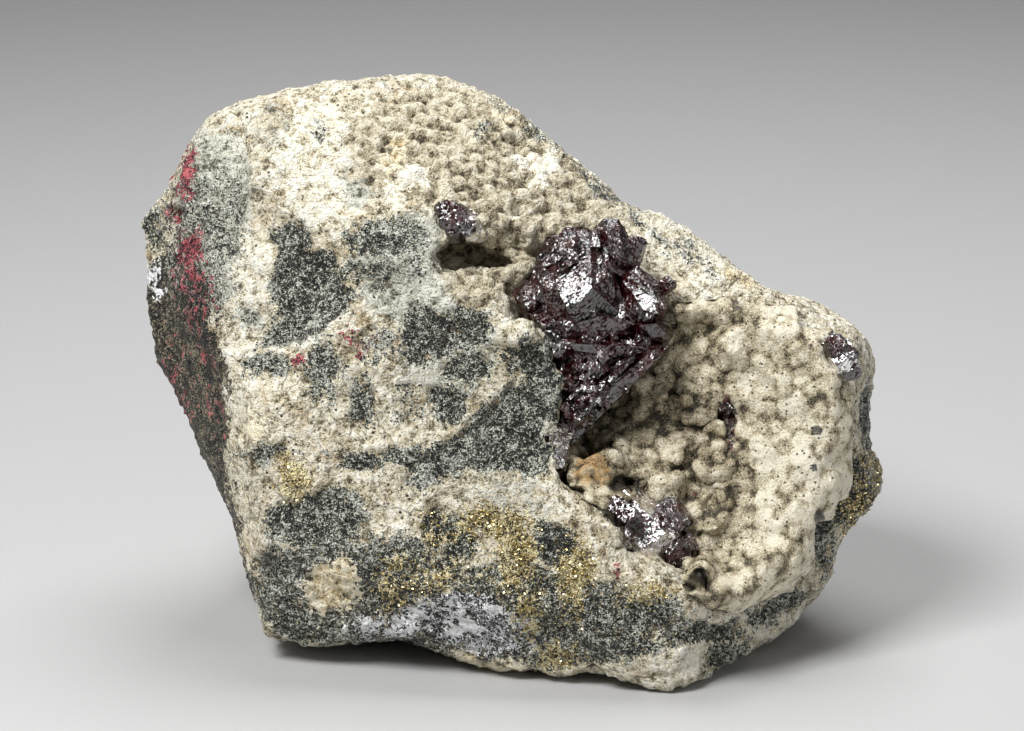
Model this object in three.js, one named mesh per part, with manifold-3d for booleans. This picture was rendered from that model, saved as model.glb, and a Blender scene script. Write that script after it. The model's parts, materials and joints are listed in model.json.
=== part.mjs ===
// Proustite crystals on a carbonate matrix: a hand specimen 75 mm wide, resting on its broken underside.
// Lengths are millimetres. The shapes are laid out in a facing frame: across (to the right), up, and toward
// the person looking at the crystals. That frame leans back by LEAN when the specimen stands on a surface.
import * as THREE from "three";
import { ConvexGeometry } from "three/addons/geometries/ConvexGeometry.js";
import { ImprovedNoise } from "three/addons/math/ImprovedNoise.js";
import { mergeVertices } from "three/addons/utils/BufferGeometryUtils.js";
import Module from "manifold-3d";

const LEAN = THREE.MathUtils.degToRad(16);
const VIEW_DISTANCE = 400; // the specimen is laid out as it looks from this far away
const VIEW_CENTRE = [0.2, 32.4];
const ROCK_CENTRE = [-1, 32];
const ROCK_DETAIL = 13; // splits of each icosahedron edge
const CORNER_POWER = 8; // higher is blockier where the front rolls over to the sides
const FLOOR_HEIGHT = 3.7; // height of the resting plane in the facing frame
const GAP = 0.3; // clear space between one solid and the next
const GRID = 4e-3; // points are rounded to this grid, so that none lie closer together

// The edge of the specimen as seen from the front, clockwise from the left knob: across, up, toward.
const OUTLINE = [
  [-37.3, 47.3, -4], [-36.3, 48.5, -4], [-35.2, 48.3, -4], [-35, 49.5, -5], [-33.8, 51.6, -5],
  [-32.4, 54, -5], [-31, 56.3, -5], [-29.6, 57.8, -5], [-27.4, 58.8, -5], [-24.8, 59.1, -5],
  [-22.6, 60, -5], [-18.8, 60.9, -5], [-16.5, 60.6, -5], [-14.8, 61, -5], [-9.6, 61.5, -5],
  [-7.8, 61.4, -5], [-4, 59.9, -5], [-0.2, 58.5, -5], [1.5, 57.8, -5], [4.6, 55, -5],
  [8.6, 51.6, -5], [12, 48.5, -4], [14, 47.3, -4], [16.2, 46.7, -4], [20.2, 43.9, -4],
  [22.5, 42.8, -4], [24.2, 41.4, -4], [25.3, 39.7, -3], [27.5, 39.1, -3], [32, 38.3, -3],
  [33.5, 37.6, -3], [35, 36, -3], [36.4, 33.9, -3], [36.9, 31.8, -3], [36.2, 29.4, -3],
  [35.8, 23.5, -2], [36.8, 23.1, -2], [37.5, 21.4, -2], [37.2, 19.8, -2], [35.6, 17.5, -2],
  [34, 15.9, -2], [32.8, 14.8, -2], [33, 12.8, -2], [31.8, 10.8, -2], [30, 8.8, -1],
  [29.4, 7.2, -1], [27.2, 5.6, 0], [24, 3.6, 3], [21.9, 2.4, 6], [18, 0.6, 10],
  [15, 0.1, 12], [12.3, 0.3, 12], [10.4, 1.7, 11], [9, 2, 11], [6.6, 1.5, 10],
  [5.2, 0.8, 10], [3.7, 1.8, 9], [-0.2, 1.8, 8], [-4, 2.6, 7], [-7.9, 3.7, 6],
  [-11.7, 5, 5], [-13.5, 5, 4.5], [-18, 4, 4], [-21.3, 4.9, 4], [-24.2, 5, 3],
  [-25, 6.5, 2], [-25.9, 9.5, 1], [-26.4, 13.2, 0], [-28.2, 18.6, -1], [-30.5, 23.5, -2],
  [-32.9, 28.6, -3], [-35, 33.6, -3], [-36.1, 37, -4], [-36.4, 40.5, -4], [-36.2, 42.8, -4],
  [-36.7, 44.7, -4], [-37.2, 45.8, -4],
];

// Flat faces that meet to make the block. Each passes through at = [across, up, toward] and its distance
// toward the viewer changes by slope = [per mm across, per mm up].
const FRONT_FACES = [
  { name: "front face", at: [-11, 24, 12], slope: [0.03, -0.1] },
  { name: "upper left face", at: [-23, 44, 7], slope: [0.25, -0.28] },
  { name: "top slope", at: [-11, 54, 3.5], slope: [0.02, -0.75] },
  { name: "left side", at: [-30.4, 42, 6], slope: [2, 0.2] },
  { name: "lower left side", at: [-28.9, 26, 11.5], slope: [2.6, 0.1] },
  { name: "undercut", at: [-21, 5, 5.5], slope: [0.28, 0.75] },
  { name: "lower right face", at: [23, 6, 9], slope: [-0.9, 0.3] },
  { name: "right side", at: [34, 27, 5], slope: [-1.6, 0] },
  { name: "upper right slope", at: [15, 43, 4.5], slope: [-0.35, -0.85] },
];
const BACK_FACES = [
  { name: "back", at: [0, 30, -27], slope: [0.06, -0.1] },
  { name: "upper back slope", at: [-6, 55, -22], slope: [-0.05, 1.2] },
  { name: "left back", at: [-30, 32, -17], slope: [-1.5, 0.1] },
  { name: "right back", at: [30, 26, -15], slope: [1.3, -0.15] },
  { name: "lower back chip", at: [12, 12, -25], slope: [0.35, -0.45] },
  { name: "upper right back", at: [17, 43, -19], slope: [0.6, 0.9] },
  { name: "upper left back chip", at: [-23, 53, -16], slope: [-0.9, 0.7] },
];
const EDGE_SOFTNESS = 0.6; // how far two flat faces blend where they meet
const CHIPS = { size: 8, step: 0.6, tilt: 0.2 }; // flat chips of the broken surface
const BACK_CHIPS = 1.6; // how much deeper the chips of the back are
const FRONT_ROUGH = { size: 5, height: 0.25 };
const BACK_ROUGH = { size: 6, height: 0.4 };
const SIDE_ROUGH = 0.035; // share of its radius by which the block's rounded sides are chipped

// Hollows sink the front to a floor of their own, inside an outline, down a wall of the given width.
const BOWL = {
  outline: [
    [12, 41], [16.2, 39], [21, 39], [26, 37.8], [29, 37.2], [32.4, 36.4], [34, 34], [35, 30],
    [34.8, 26], [34, 22], [32.6, 18.5], [31.8, 14.5], [29.4, 11], [26, 9], [22.5, 8.5], [19.8, 9],
    [18.4, 11], [16.6, 11.8], [13.5, 12.2], [11.2, 14.5], [10.2, 17.8], [6.5, 19], [4.5, 20.8],
    [4, 25], [5, 31], [7, 37],
  ],
  floor: { at: [18, 27, 2.8], slope: [0.1, -0.02], curve: 0.013 },
  wall: 3.4,
};
// Deeper holes are cut into the block after it is made, with upright walls and a rounded foot.
const POCKET = {
  outline: [
    [-7.4, 44.6], [-5.8, 45.4], [-3, 45.2], [-0.8, 44], [0.6, 42.9], [-0.8, 41.9], [-3.4, 41.7],
    [-5.4, 41.1], [-7, 42], [-7.9, 43.2],
  ],
  floor: 2.6,
  wall: 1,
};
const CAVE = {
  outline: [[4.6, 24.6], [4.4, 21.6], [6, 19.8], [9.2, 19], [11, 20.5], [10.5, 25], [8.6, 28], [6, 28]],
  floor: -1.5,
  wall: 0.9,
};
const HOLES = [POCKET, CAVE];

// Rounded swellings of the block: across, up, radius, height.
const SWELLINGS = [
  [-11.5, 43.5, 4, 1.1], [-4.5, 37.5, 3.2, 1], [1, 35.2, 2.6, 0.8], [-18, 33, 4, 0.7], [-24.5, 27, 4, 0.8],
  [5, 16, 4, 0.9], [12.2, 10, 4, 1.3], [15.8, 9.6, 2.6, 1], [9.8, 16.5, 2, 0.9], [-12, 12, 5, 0.9],
  [1, 50.5, 3.2, 1.2], [-3, 55, 5, 1.1], [-19, 55, 5, 0.9], [4, 51, 3.4, 0.8], [-25, 52, 4, 0.9],
  [34.6, 20.2, 3.2, 2.2], [-1.2, 40.8, 2.2, 1.1], [1.6, 41.2, 2, 1],
];
// Steps of the front surface: inside each outline it stands back by its drop, or forward if that is negative.
const STEPS = [
  {
    name: "shelf beside the pocket",
    outline: [
      [-5, 45.6], [-1, 46.2], [4, 45.4], [8, 43.6], [9.4, 38], [6, 34.6], [3.6, 35.2], [1.6, 36.7], [-1, 38.6], [-5, 40.4],
    ],
    drop: 3,
    wall: 1.6,
  },
  {
    name: "upper left face",
    outline: [[-36, 46], [-29.6, 34.2], [-24.8, 34.3], [-20, 35.2], [-16.2, 37.3], [-15, 43], [-21, 47.5], [-27, 57]],
    drop: 1.4,
    wall: 1.2,
  },
  {
    name: "top right slab",
    outline: [[15.6, 46.6], [20, 44.4], [26, 40], [24.2, 39], [18.4, 41.6], [15, 44]],
    drop: -1.2,
    wall: 1,
  },
];

// Where the underside touches the surface it rests on: across and away from the viewer.
const CONTACT = [
  [-17, -3], [-6, -7], [5, -10.5], [13, -13], [19, -11], [23, -3], [24, 9], [20, 20], [9, 27], [-7, 28], [-17, 21],
  [-20, 9],
];
const CONTACT_DEPTH = 0.45; // how far the contact patch sinks below the resting plane before it is cut flat
const UNDERSIDE_RISE = 0.32; // rise of the underside per millimetre outside the contact patch
const UNDERSIDE_BUMPS = { size: 5, height: 0.35 };

const noise = new ImprovedNoise();
const wasm = await Module();
wasm.setup();

const smooth = (from, to, value) => THREE.MathUtils.smoothstep(value, from, to);

function onFace({ at, slope, curve = 0 }, u, v) {
  const du = u - at[0];
  const dv = v - at[1];
  return at[2] + slope[0] * du + slope[1] * dv + curve * (du * du + dv * dv);
}

function softMin(a, b, softness) {
  const blend = Math.max(softness - Math.abs(a - b), 0) / softness;
  return Math.min(a, b) - (blend * blend * softness) / 4;
}

// Rolling and rough relief from several sizes of noise, about -1 to 1.
function roughness(u, v, w, size) {
  const a = noise.noise(u / size, v / size, w / size + 7.3);
  const b = noise.noise((2.1 * u) / size, (2.1 * v) / size, (2.1 * w) / size);
  return a + 0.5 * b;
}

// Distance to a polygon's edge: positive inside, negative outside.
function insideDistance(polygon, u, v) {
  let nearest = Infinity;
  let inside = false;
  polygon.forEach(([ax, ay], i) => {
    const [bx, by] = polygon[(i + 1) % polygon.length];
    const along = ((u - ax) * (bx - ax) + (v - ay) * (by - ay)) / ((bx - ax) ** 2 + (by - ay) ** 2);
    const t = THREE.MathUtils.clamp(along, 0, 1);
    nearest = Math.min(nearest, Math.hypot(u - ax - t * (bx - ax), v - ay - t * (by - ay)));
    if (ay > v !== by > v && u < ((bx - ax) * (v - ay)) / (by - ay) + ax) inside = !inside;
  });
  return inside ? nearest : -nearest;
}

// A broken surface: irregular cells, each a flat chip with its own height and tilt.
function chips(u, v, layer) {
  const column = Math.floor(u / CHIPS.size);
  const row = Math.floor(v / CHIPS.size);
  const chance = (i, j, n) => noise.noise(i * 0.73 + n * 3.1, j * 0.81 + n * 1.7, layer + 0.37);
  let best = Infinity;
  let height = 0;
  for (let i = column - 1; i <= column + 1; i++) {
    for (let j = row - 1; j <= row + 1; j++) {
      const du = u - CHIPS.size * (i + 0.5 + 0.9 * chance(i, j, 1));
      const dv = v - CHIPS.size * (j + 0.5 + 0.9 * chance(i, j, 2));
      const far = Math.hypot(du, dv);
      if (far > best) continue;
      best = far;
      const tilt = du * chance(i, j, 4) + dv * chance(i, j, 5);
      height = 2 * CHIPS.step * chance(i, j, 3) + 2 * CHIPS.tilt * tilt;
    }
  }
  return height;
}

// How far the front surface stands toward the viewer, before its rim is rolled over.
function frontDepth(u, v) {
  let depth = FRONT_FACES.map((face) => onFace(face, u, v)).reduce((a, b) => softMin(a, b, EDGE_SOFTNESS));
  for (const [cu, cv, radius, height] of SWELLINGS) {
    const far = Math.hypot(u - cu, v - cv) / radius;
    if (far < 1) depth += height * Math.sqrt(1 - far * far);
  }
  for (const { outline, drop, wall } of STEPS) depth -= drop * smooth(0, wall, insideDistance(outline, u, v));
  depth += chips(u, v, 0) + FRONT_ROUGH.height * roughness(u, v, 0, FRONT_ROUGH.size);
  const inBowl = smooth(0, BOWL.wall, insideDistance(BOWL.outline, u, v));
  return THREE.MathUtils.lerp(depth, Math.min(depth, onFace(BOWL.floor, u, v)), inBowl);
}

function backDepth(u, v) {
  const faces = BACK_FACES.map((face) => -onFace(face, u, v));
  const depth = -faces.reduce((a, b) => softMin(a, b, EDGE_SOFTNESS));
  return depth + BACK_CHIPS * chips(u, v, 5) + BACK_ROUGH.height * roughness(u, v, 40, BACK_ROUGH.size);
}

// Where a ray from the rock's centre crosses the outline: its length, and the rim's depth there.
function rim(cos, sin) {
  for (let i = 0; i < OUTLINE.length; i++) {
    const [ax, ay, aw] = OUTLINE[i];
    const [bx, by, bw] = OUTLINE[(i + 1) % OUTLINE.length];
    const px = ax - ROCK_CENTRE[0];
    const py = ay - ROCK_CENTRE[1];
    const ex = bx - ax;
    const ey = by - ay;
    const cross = cos * ey - sin * ex;
    const length = (px * ey - py * ex) / cross;
    const t = (px * sin - py * cos) / cross;
    if (length > 0 && t >= 0 && t <= 1) return { length, depth: THREE.MathUtils.lerp(aw, bw, t) };
  }
  throw new Error("the outline is open");
}

// A point of the picture plane, moved to its depth along the line of sight.
function seen(u, v, w) {
  const scale = 1 - w / VIEW_DISTANCE;
  return new THREE.Vector3(
    VIEW_CENTRE[0] + (u - VIEW_CENTRE[0]) * scale,
    VIEW_CENTRE[1] + (v - VIEW_CENTRE[1]) * scale,
    w,
  );
}

// The underside is lifted to rest on its contact patch and rise gently away from it.
function restUnderside(p) {
  const height = p.y * Math.cos(LEAN) + p.z * Math.sin(LEAN) - FLOOR_HEIGHT;
  const away = p.y * Math.sin(LEAN) - p.z * Math.cos(LEAN);
  const outside = Math.max(0, -insideDistance(CONTACT, p.x, away));
  const { size, height: bump } = UNDERSIDE_BUMPS;
  const bumps = bump * (1 + roughness(p.x, away, 11, size)) * Math.min(1, outside / 2);
  const lift = Math.max(0, UNDERSIDE_RISE * outside + bumps - CONTACT_DEPTH - height);
  p.y += lift * Math.cos(LEAN);
  p.z += lift * Math.sin(LEAN);
  return p;
}

function rockPoint(direction) {
  const angle = Math.atan2(direction.y, direction.x);
  const flat = Math.hypot(direction.x, direction.y);
  const deep = Math.abs(direction.z);
  const rough = Math.abs(roughness(direction.x, direction.y, direction.z, 1 / 3));
  const chipped = 1 - SIDE_ROUGH * deep * rough;
  const reach = chipped * (flat ** CORNER_POWER + deep ** CORNER_POWER) ** (-1 / CORNER_POWER);
  const edge = rim(Math.cos(angle), Math.sin(angle));
  const u = ROCK_CENTRE[0] + reach * edge.length * direction.x;
  const v = ROCK_CENTRE[1] + reach * edge.length * direction.y;
  const surface = direction.z > 0 ? frontDepth(u, v) : backDepth(u, v);
  return restUnderside(seen(u, v, THREE.MathUtils.lerp(edge.depth, surface, reach * deep)));
}

// Solids and booleans: three.js geometry in, three.js geometry out.
function solid(geometry) {
  const bare = geometry.index ? geometry.toNonIndexed() : geometry.clone();
  for (const name of Object.keys(bare.attributes)) if (name !== "position") bare.deleteAttribute(name);
  const onGrid = (value) => Math.round(value / GRID) * GRID;
  bare.attributes.position.array = bare.attributes.position.array.map(onGrid);
  const merged = mergeVertices(bare, GRID / 2);
  const vertProperties = merged.attributes.position.array;
  const triVerts = new Uint32Array(merged.index.array);
  return new wasm.Manifold(new wasm.Mesh({ numProp: 3, vertProperties, triVerts }));
}

function geometryOf(manifold) {
  const mesh = manifold.getMesh();
  const geometry = new THREE.BufferGeometry();
  geometry.setAttribute("position", new THREE.BufferAttribute(mesh.vertProperties, 3));
  geometry.setIndex(new THREE.BufferAttribute(mesh.triVerts, 1));
  const faceted = geometry.toNonIndexed();
  faceted.computeVertexNormals();
  return faceted;
}

const biggestBody = (manifold) => manifold.decompose().reduce((a, b) => (a.volume() > b.volume() ? a : b));
const largest = (manifold) => biggestBody(solid(geometryOf(biggestBody(manifold))));

// The same solid with every point moved out by the gap that its neighbours keep to it.
function withGap(manifold) {
  const geometry = mergeVertices(geometryOf(manifold).deleteAttribute("normal"), GRID / 2);
  geometry.computeVertexNormals();
  const points = geometry.attributes.position;
  const normals = geometry.attributes.normal;
  for (let i = 0; i < points.count; i++) {
    const point = new THREE.Vector3().fromBufferAttribute(points, i);
    const normal = new THREE.Vector3().fromBufferAttribute(normals, i);
    points.setXYZ(i, ...point.addScaledVector(normal, GAP));
  }
  return solid(geometry).add(manifold);
}

const HOLE_REACH = 40; // long enough to come out of the front
const HOLE_FOOT = 2; // height of the rounding between a hole's wall and its floor

function makeHole({ outline, floor, wall }) {
  const shape = new THREE.Shape(outline.map(([u, v]) => new THREE.Vector2(u, v)));
  const geometry = new THREE.ExtrudeGeometry(shape, {
    depth: HOLE_REACH,
    bevelThickness: HOLE_FOOT,
    bevelSize: wall,
    bevelOffset: -wall,
    bevelSegments: 2,
  });
  geometry.translate(0, 0, floor + HOLE_FOOT);
  const points = geometry.attributes.position;
  for (let i = 0; i < points.count; i++) points.setXYZ(i, ...seen(points.getX(i), points.getY(i), points.getZ(i)));
  return solid(geometry);
}

function makeBlock() {
  const sphere = new THREE.IcosahedronGeometry(1, ROCK_DETAIL);
  sphere.deleteAttribute("normal");
  sphere.deleteAttribute("uv");
  const shell = mergeVertices(sphere, 1e-5);
  const points = shell.attributes.position;
  const FRONT_BIAS = 0.45; // puts more of the sphere's points on the front
  for (let i = 0; i < points.count; i++) {
    const direction = new THREE.Vector3().fromBufferAttribute(points, i);
    direction.z += FRONT_BIAS;
    points.setXYZ(i, ...rockPoint(direction.normalize()));
  }
  const CUTTER = { width: 200, height: 60 }; // larger than the block
  const belowFloor = new THREE.BoxGeometry(CUTTER.width, CUTTER.height, CUTTER.width);
  belowFloor.translate(0, FLOOR_HEIGHT - CUTTER.height / 2, 0);
  belowFloor.rotateX(LEAN);
  const cut = solid(shell).subtract(solid(belowFloor));
  return largest(HOLES.reduce((rock, hole) => rock.subtract(makeHole(hole)), cut));
}

// The crust of rounded carbonate lumps that lines the bowl.
const CRUST = {
  outline: [
    [11.5, 41], [16, 39.8], [21, 39.8], [26, 38.8], [29.4, 38.4], [33, 37.4], [35, 34.6], [36, 31],
    [35.8, 26], [34.8, 21], [33.2, 18], [32.4, 13.6], [29.6, 10.4], [26, 8.4], [22.5, 7.6], [19, 8.2],
    [17.6, 11], [15.4, 13.2], [12.2, 15.2], [10.2, 17.8], [6.4, 19.2], [5.4, 22], [6.3, 26], [6.5, 32], [8.5, 38],
  ],
  step: 1.9, // size of the grid cells
  margin: 1.8, // how far the grid runs past the outline, where it dips into the rock
  buried: 1.4,
  rimClear: 0.9, // how far it keeps inside the edge of the rock
  thickness: 1.1,
  taper: 1.8, // width over which the crust thins out to its edge
  depthBelow: 5,
  reach: 60, // past the top right corner of the outline
};
const KNOBS = [
  [8.8, 21.6, 3, 3.2], [21.2, 17.4, 2.2, 1.6], [17.6, 9.8, 2.4, 1.2], [26.5, 12.5, 2.6, 1], [29, 33, 3.2, 0.8],
]; // across, up, radius, height
const CRUST_LUMPS = [
  { size: 5.2, height: 1.5 },
  { size: 2.7, height: 0.7 },
];

// Rounded lumps on a jittered grid of cells: 0 between them, 1 on their tops.
function lumps(u, v, size) {
  let top = 0;
  const row = Math.floor(v / size);
  const column = Math.floor(u / size);
  for (let i = column - 1; i <= column + 1; i++) {
    for (let j = row - 1; j <= row + 1; j++) {
      const jitterU = 0.36 * noise.noise(i * 3.7 + 0.5, j * 5.1 + 0.3, size);
      const jitterV = 0.36 * noise.noise(i * 4.3 + 0.7, j * 2.9 + 0.1, size + 9);
      const far = Math.hypot(u / size - i - 0.5 - jitterU - 0.25 * (j % 2), v / size - j - 0.5 - jitterV) / 0.72;
      if (far < 1) top = Math.max(top, Math.sqrt(1 - far * far));
    }
  }
  return top;
}

function crustTop(u, v) {
  const share = smooth(-0.4, CRUST.taper, insideDistance(CRUST.outline, u, v));
  const relief = CRUST_LUMPS.reduce((sum, { size, height }) => sum + height * lumps(u, v, size), 0);
  let top = frontDepth(u, v) + (CRUST.thickness + relief) * share - CRUST.buried * (1 - share);
  for (const [cu, cv, radius, height] of KNOBS) {
    const far = Math.hypot(u - cu, v - cv) / radius;
    if (far < 1) top += height * Math.sqrt(1 - far * far);
  }
  return top;
}

// A grid of squares inside the outline, with a lumpy top, a flat bottom and side walls.
function makeCrust(block) {
  const { outline, step, margin, rimClear, depthBelow } = CRUST;
  const inside = (i, j) =>
    insideDistance(outline, i * step, j * step) > -margin && insideDistance(OUTLINE, i * step, j * step) > rimClear;
  const positions = [];
  const triangle = (...corners) => corners.forEach((p) => positions.push(p.x, p.y, p.z));
  const top = (i, j) => seen(i * step, j * step, crustTop(i * step, j * step));
  const bottom = (i, j) => seen(i * step, j * step, frontDepth(i * step, j * step) - depthBelow);
  const cell = (i, j) => inside(i, j) && inside(i + 1, j) && inside(i, j + 1) && inside(i + 1, j + 1);
  const reach = Math.ceil(CRUST.reach / step);
  for (let i = 0; i < reach; i++) {
    for (let j = 0; j < reach; j++) {
      if (!cell(i, j)) continue;
      triangle(top(i, j), top(i + 1, j), top(i + 1, j + 1));
      triangle(top(i, j), top(i + 1, j + 1), top(i, j + 1));
      triangle(bottom(i, j), bottom(i + 1, j + 1), bottom(i + 1, j));
      triangle(bottom(i, j), bottom(i, j + 1), bottom(i + 1, j + 1));
      const sides = [
        [cell(i, j - 1), [i, j], [i + 1, j]],
        [cell(i + 1, j), [i + 1, j], [i + 1, j + 1]],
        [cell(i, j + 1), [i + 1, j + 1], [i, j + 1]],
        [cell(i - 1, j), [i, j + 1], [i, j]],
      ];
      for (const [joined, a, b] of sides) {
        if (joined) continue;
        triangle(bottom(...a), bottom(...b), top(...b));
        triangle(bottom(...a), top(...b), top(...a));
      }
    }
  }
  const geometry = new THREE.BufferGeometry();
  geometry.setAttribute("position", new THREE.Float32BufferAttribute(positions, 3));
  return largest(solid(geometry).subtract(withGap(block)));
}

const ground = (u, v) => Math.max(frontDepth(u, v), crustTop(u, v));

// A six-sided proustite crystal with three rhombohedral faces at its tip, set on at and pointing along its
// axis. foot is how far it runs back below that point, into the rock.
function crystal({ at, axis, radius, length, foot, twist = 0, tip = 0.55 }, grow = 0) {
  const [u, v, w = ground(u, v)] = at;
  const across = radius + grow;
  const top = length + grow;
  const points = [];
  for (let i = 0; i < 6; i++) {
    const angle = (i * Math.PI) / 3 + twist;
    const x = across * Math.cos(angle);
    const y = across * Math.sin(angle);
    const drop = i % 2 ? across * tip : (across * tip) / 2;
    points.push(new THREE.Vector3(x, y, top - drop));
    points.push(new THREE.Vector3(x, y, -foot - grow));
  }
  points.push(new THREE.Vector3(0, 0, top));
  const geometry = new ConvexGeometry(points);
  const turn = new THREE.Quaternion().setFromUnitVectors(
    new THREE.Vector3(0, 0, 1),
    new THREE.Vector3(...axis).normalize(),
  );
  geometry.applyQuaternion(turn);
  geometry.translate(...seen(u, v, w));
  return solid(geometry);
}

// Crystals grown together, by group. at is where the crystal's middle stands: across, up, toward.
const CRYSTALS = {
  proustite_main: [
    { at: [6.6, 41.2, 5], axis: [-0.12, 0.12, 1], radius: 4.5, length: 8, foot: 5, twist: 0.35, tip: 0.4 },
    { at: [4.4, 39.6, 5], axis: [-0.45, -0.1, 1], radius: 3, length: 6.6, foot: 4, twist: 0.9, tip: 0.5 },
    { at: [10.5, 43.2, 8.5], axis: [-0.1, 1, 0.12], radius: 2.1, length: 4, foot: 5, twist: 0.3 },
    { at: [12.2, 41.6, 7.5], axis: [0.25, 1, 0.2], radius: 1.7, length: 2.8, foot: 4, twist: 0 },
    { at: [13.4, 39, 7.5], axis: [0.75, 0.25, 0.6], radius: 2.5, length: 3.2, foot: 4, twist: 0.5 },
    { at: [14.4, 36.2, 7], axis: [0.8, -0.2, 0.5], radius: 2, length: 2.2, foot: 4, twist: 0.2 },
    { at: [11, 36.4, 7], axis: [0.1, -0.2, 1], radius: 3.4, length: 4, foot: 5, twist: 0.7, tip: 0.45 },
    { at: [2, 37.6, 8.6], axis: [-0.6, 0.3, 0.8], radius: 1.4, length: 3, foot: 3 },
    { at: [1.4, 39, 7.6], axis: [-0.7, 0.5, 0.5], radius: 1, length: 1.8, foot: 3, twist: 0.4 },
    { at: [10.4, 30, 7], axis: [0.62, 0.72, 0.1], radius: 3.6, length: 7, foot: 7, twist: 0.5, tip: 0.35 },
    { at: [7.4, 30.4, 8.6], axis: [0.5, 0.86, 0.12], radius: 2.7, length: 5.6, foot: 6.4, twist: 0.2 },
    { at: [5.6, 33.6, 9.6], axis: [0.3, 0.8, 0.5], radius: 1.7, length: 2.5, foot: 2, twist: 0.8 },
    { at: [4.9, 24.4, 7.6], axis: [-0.3, -0.9, 0.2], radius: 1.3, length: 3, foot: 4 },
    { at: [4.1, 26.2, 9.4], axis: [-0.2, -0.8, 0.5], radius: 1.3, length: 2.4, foot: 4, twist: 0.4 },
  ],
  proustite_lower: [
    { at: [13.6, 15.6], axis: [0.62, -0.66, 0.5], radius: 2.7, length: 3.4, foot: 4, twist: 0.3, tip: 0.4 },
    { at: [11.6, 17.6], axis: [-0.25, 0.1, 1], radius: 1.5, length: 2, foot: 5, twist: 0.2, tip: 0.25 },
    { at: [12.2, 15.6], axis: [-0.3, -0.3, 0.9], radius: 1.6, length: 2.2, foot: 4, twist: 0.7 },
    { at: [15.8, 17], axis: [0.4, 0.45, 0.8], radius: 1.9, length: 2.2, foot: 4, twist: 0.1 },
    { at: [16.6, 14.2], axis: [0.5, -0.5, 0.7], radius: 2, length: 2.4, foot: 4, twist: 0.5 },
    { at: [17, 12.8], axis: [0.2, -0.9, 0.6], radius: 1.1, length: 1.2, foot: 3 },
  ],
  proustite_upper: [
    { at: [-5.4, 46.8], axis: [-0.2, 0.1, 1], radius: 1.7, length: 1.8, foot: 3, twist: 0.2 },
    { at: [-4.2, 46.2], axis: [0.5, -0.3, 0.8], radius: 1.3, length: 1.6, foot: 3, twist: 0.5 },
    { at: [-6.4, 47.8], axis: [-0.5, 0.5, 0.7], radius: 1, length: 1.2, foot: 3 },
  ],
  proustite_right: [
    { at: [33.2, 33], axis: [0.45, -0.8, 0.6], radius: 1.3, length: 1.6, foot: 2.4, twist: 0.3 },
    { at: [32.6, 34.2], axis: [-0.5, 0.3, 0.8], radius: 1.2, length: 1, foot: 3 },
    { at: [34.1, 31.9], axis: [0.3, -0.6, 0.7], radius: 1, length: 1, foot: 3, twist: 0.6 },
  ],
  proustite_seam: [
    { at: [21.6, 28], axis: [0.1, 0.6, 0.8], radius: 0.9, length: 1, foot: 3 },
    { at: [21.9, 26.4], axis: [0.2, -0.5, 0.8], radius: 0.9, length: 1, foot: 3, twist: 0.5 },
    { at: [22, 24.8], axis: [0, -0.6, 0.8], radius: 0.8, length: 0.9, foot: 3, twist: 0.2 },
  ],
};

const grownTogether = (list, grow = 0) =>
  list.map((one) => crystal(one, grow)).reduce((all, one) => all.add(one));

const MATERIALS = {
  matrix: { color: 0xc9c0a6, roughness: 0.8, metalness: 0 },
  crust: { color: 0xd3c7a6, roughness: 0.7, metalness: 0 },
  proustite: { color: 0x2a0a10, roughness: 0.18, metalness: 0.1 },
};

function named(name, manifold, look) {
  const mesh = new THREE.Mesh(geometryOf(manifold), new THREE.MeshStandardMaterial(MATERIALS[look]));
  mesh.name = name;
  return mesh;
}

const specimen = new THREE.Group();
specimen.rotation.x = Math.PI / 2 - LEAN;
const block = makeBlock();
const sockets = grownTogether(Object.values(CRYSTALS).flat(), GAP);
specimen.add(named("matrix", largest(block.subtract(sockets)), "matrix"));
specimen.add(named("carbonate_crust", largest(makeCrust(block).subtract(sockets)), "crust"));
for (const [name, list] of Object.entries(CRYSTALS)) {
  specimen.add(named(name, largest(grownTogether(list)), "proustite"));
}

// The part's origin is under the middle of its box, on the surface it rests on.
specimen.updateMatrixWorld(true);
const box = new THREE.Box3().setFromObject(specimen, true);
const middle = box.getCenter(new THREE.Vector3());
specimen.position.set(-middle.x, -middle.y, -box.min.z);

export default specimen;
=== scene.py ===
import json
import math

import bmesh
import bpy
import numpy as np
from mathutils import Matrix, Vector, kdtree, noise
from mathutils.bvhtree import BVHTree

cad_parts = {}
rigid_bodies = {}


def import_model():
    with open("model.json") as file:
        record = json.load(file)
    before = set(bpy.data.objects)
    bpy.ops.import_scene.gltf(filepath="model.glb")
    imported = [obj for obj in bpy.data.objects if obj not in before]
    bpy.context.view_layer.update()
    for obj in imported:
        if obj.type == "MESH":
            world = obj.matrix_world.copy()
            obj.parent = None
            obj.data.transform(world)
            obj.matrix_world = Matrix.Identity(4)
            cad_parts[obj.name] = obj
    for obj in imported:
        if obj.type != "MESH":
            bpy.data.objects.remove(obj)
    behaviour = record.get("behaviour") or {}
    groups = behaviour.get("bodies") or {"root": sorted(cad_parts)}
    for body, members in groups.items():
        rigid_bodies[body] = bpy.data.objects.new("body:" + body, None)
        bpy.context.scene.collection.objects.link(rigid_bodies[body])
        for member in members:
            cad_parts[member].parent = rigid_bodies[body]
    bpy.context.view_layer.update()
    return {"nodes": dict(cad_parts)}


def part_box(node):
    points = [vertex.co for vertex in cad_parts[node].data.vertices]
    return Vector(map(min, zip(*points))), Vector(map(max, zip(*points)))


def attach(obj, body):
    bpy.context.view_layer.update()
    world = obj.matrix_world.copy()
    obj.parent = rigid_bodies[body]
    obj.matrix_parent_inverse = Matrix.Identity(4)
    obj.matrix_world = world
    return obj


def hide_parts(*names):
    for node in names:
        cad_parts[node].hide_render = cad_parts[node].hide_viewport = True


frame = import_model()
print("frame loaded")

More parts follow.
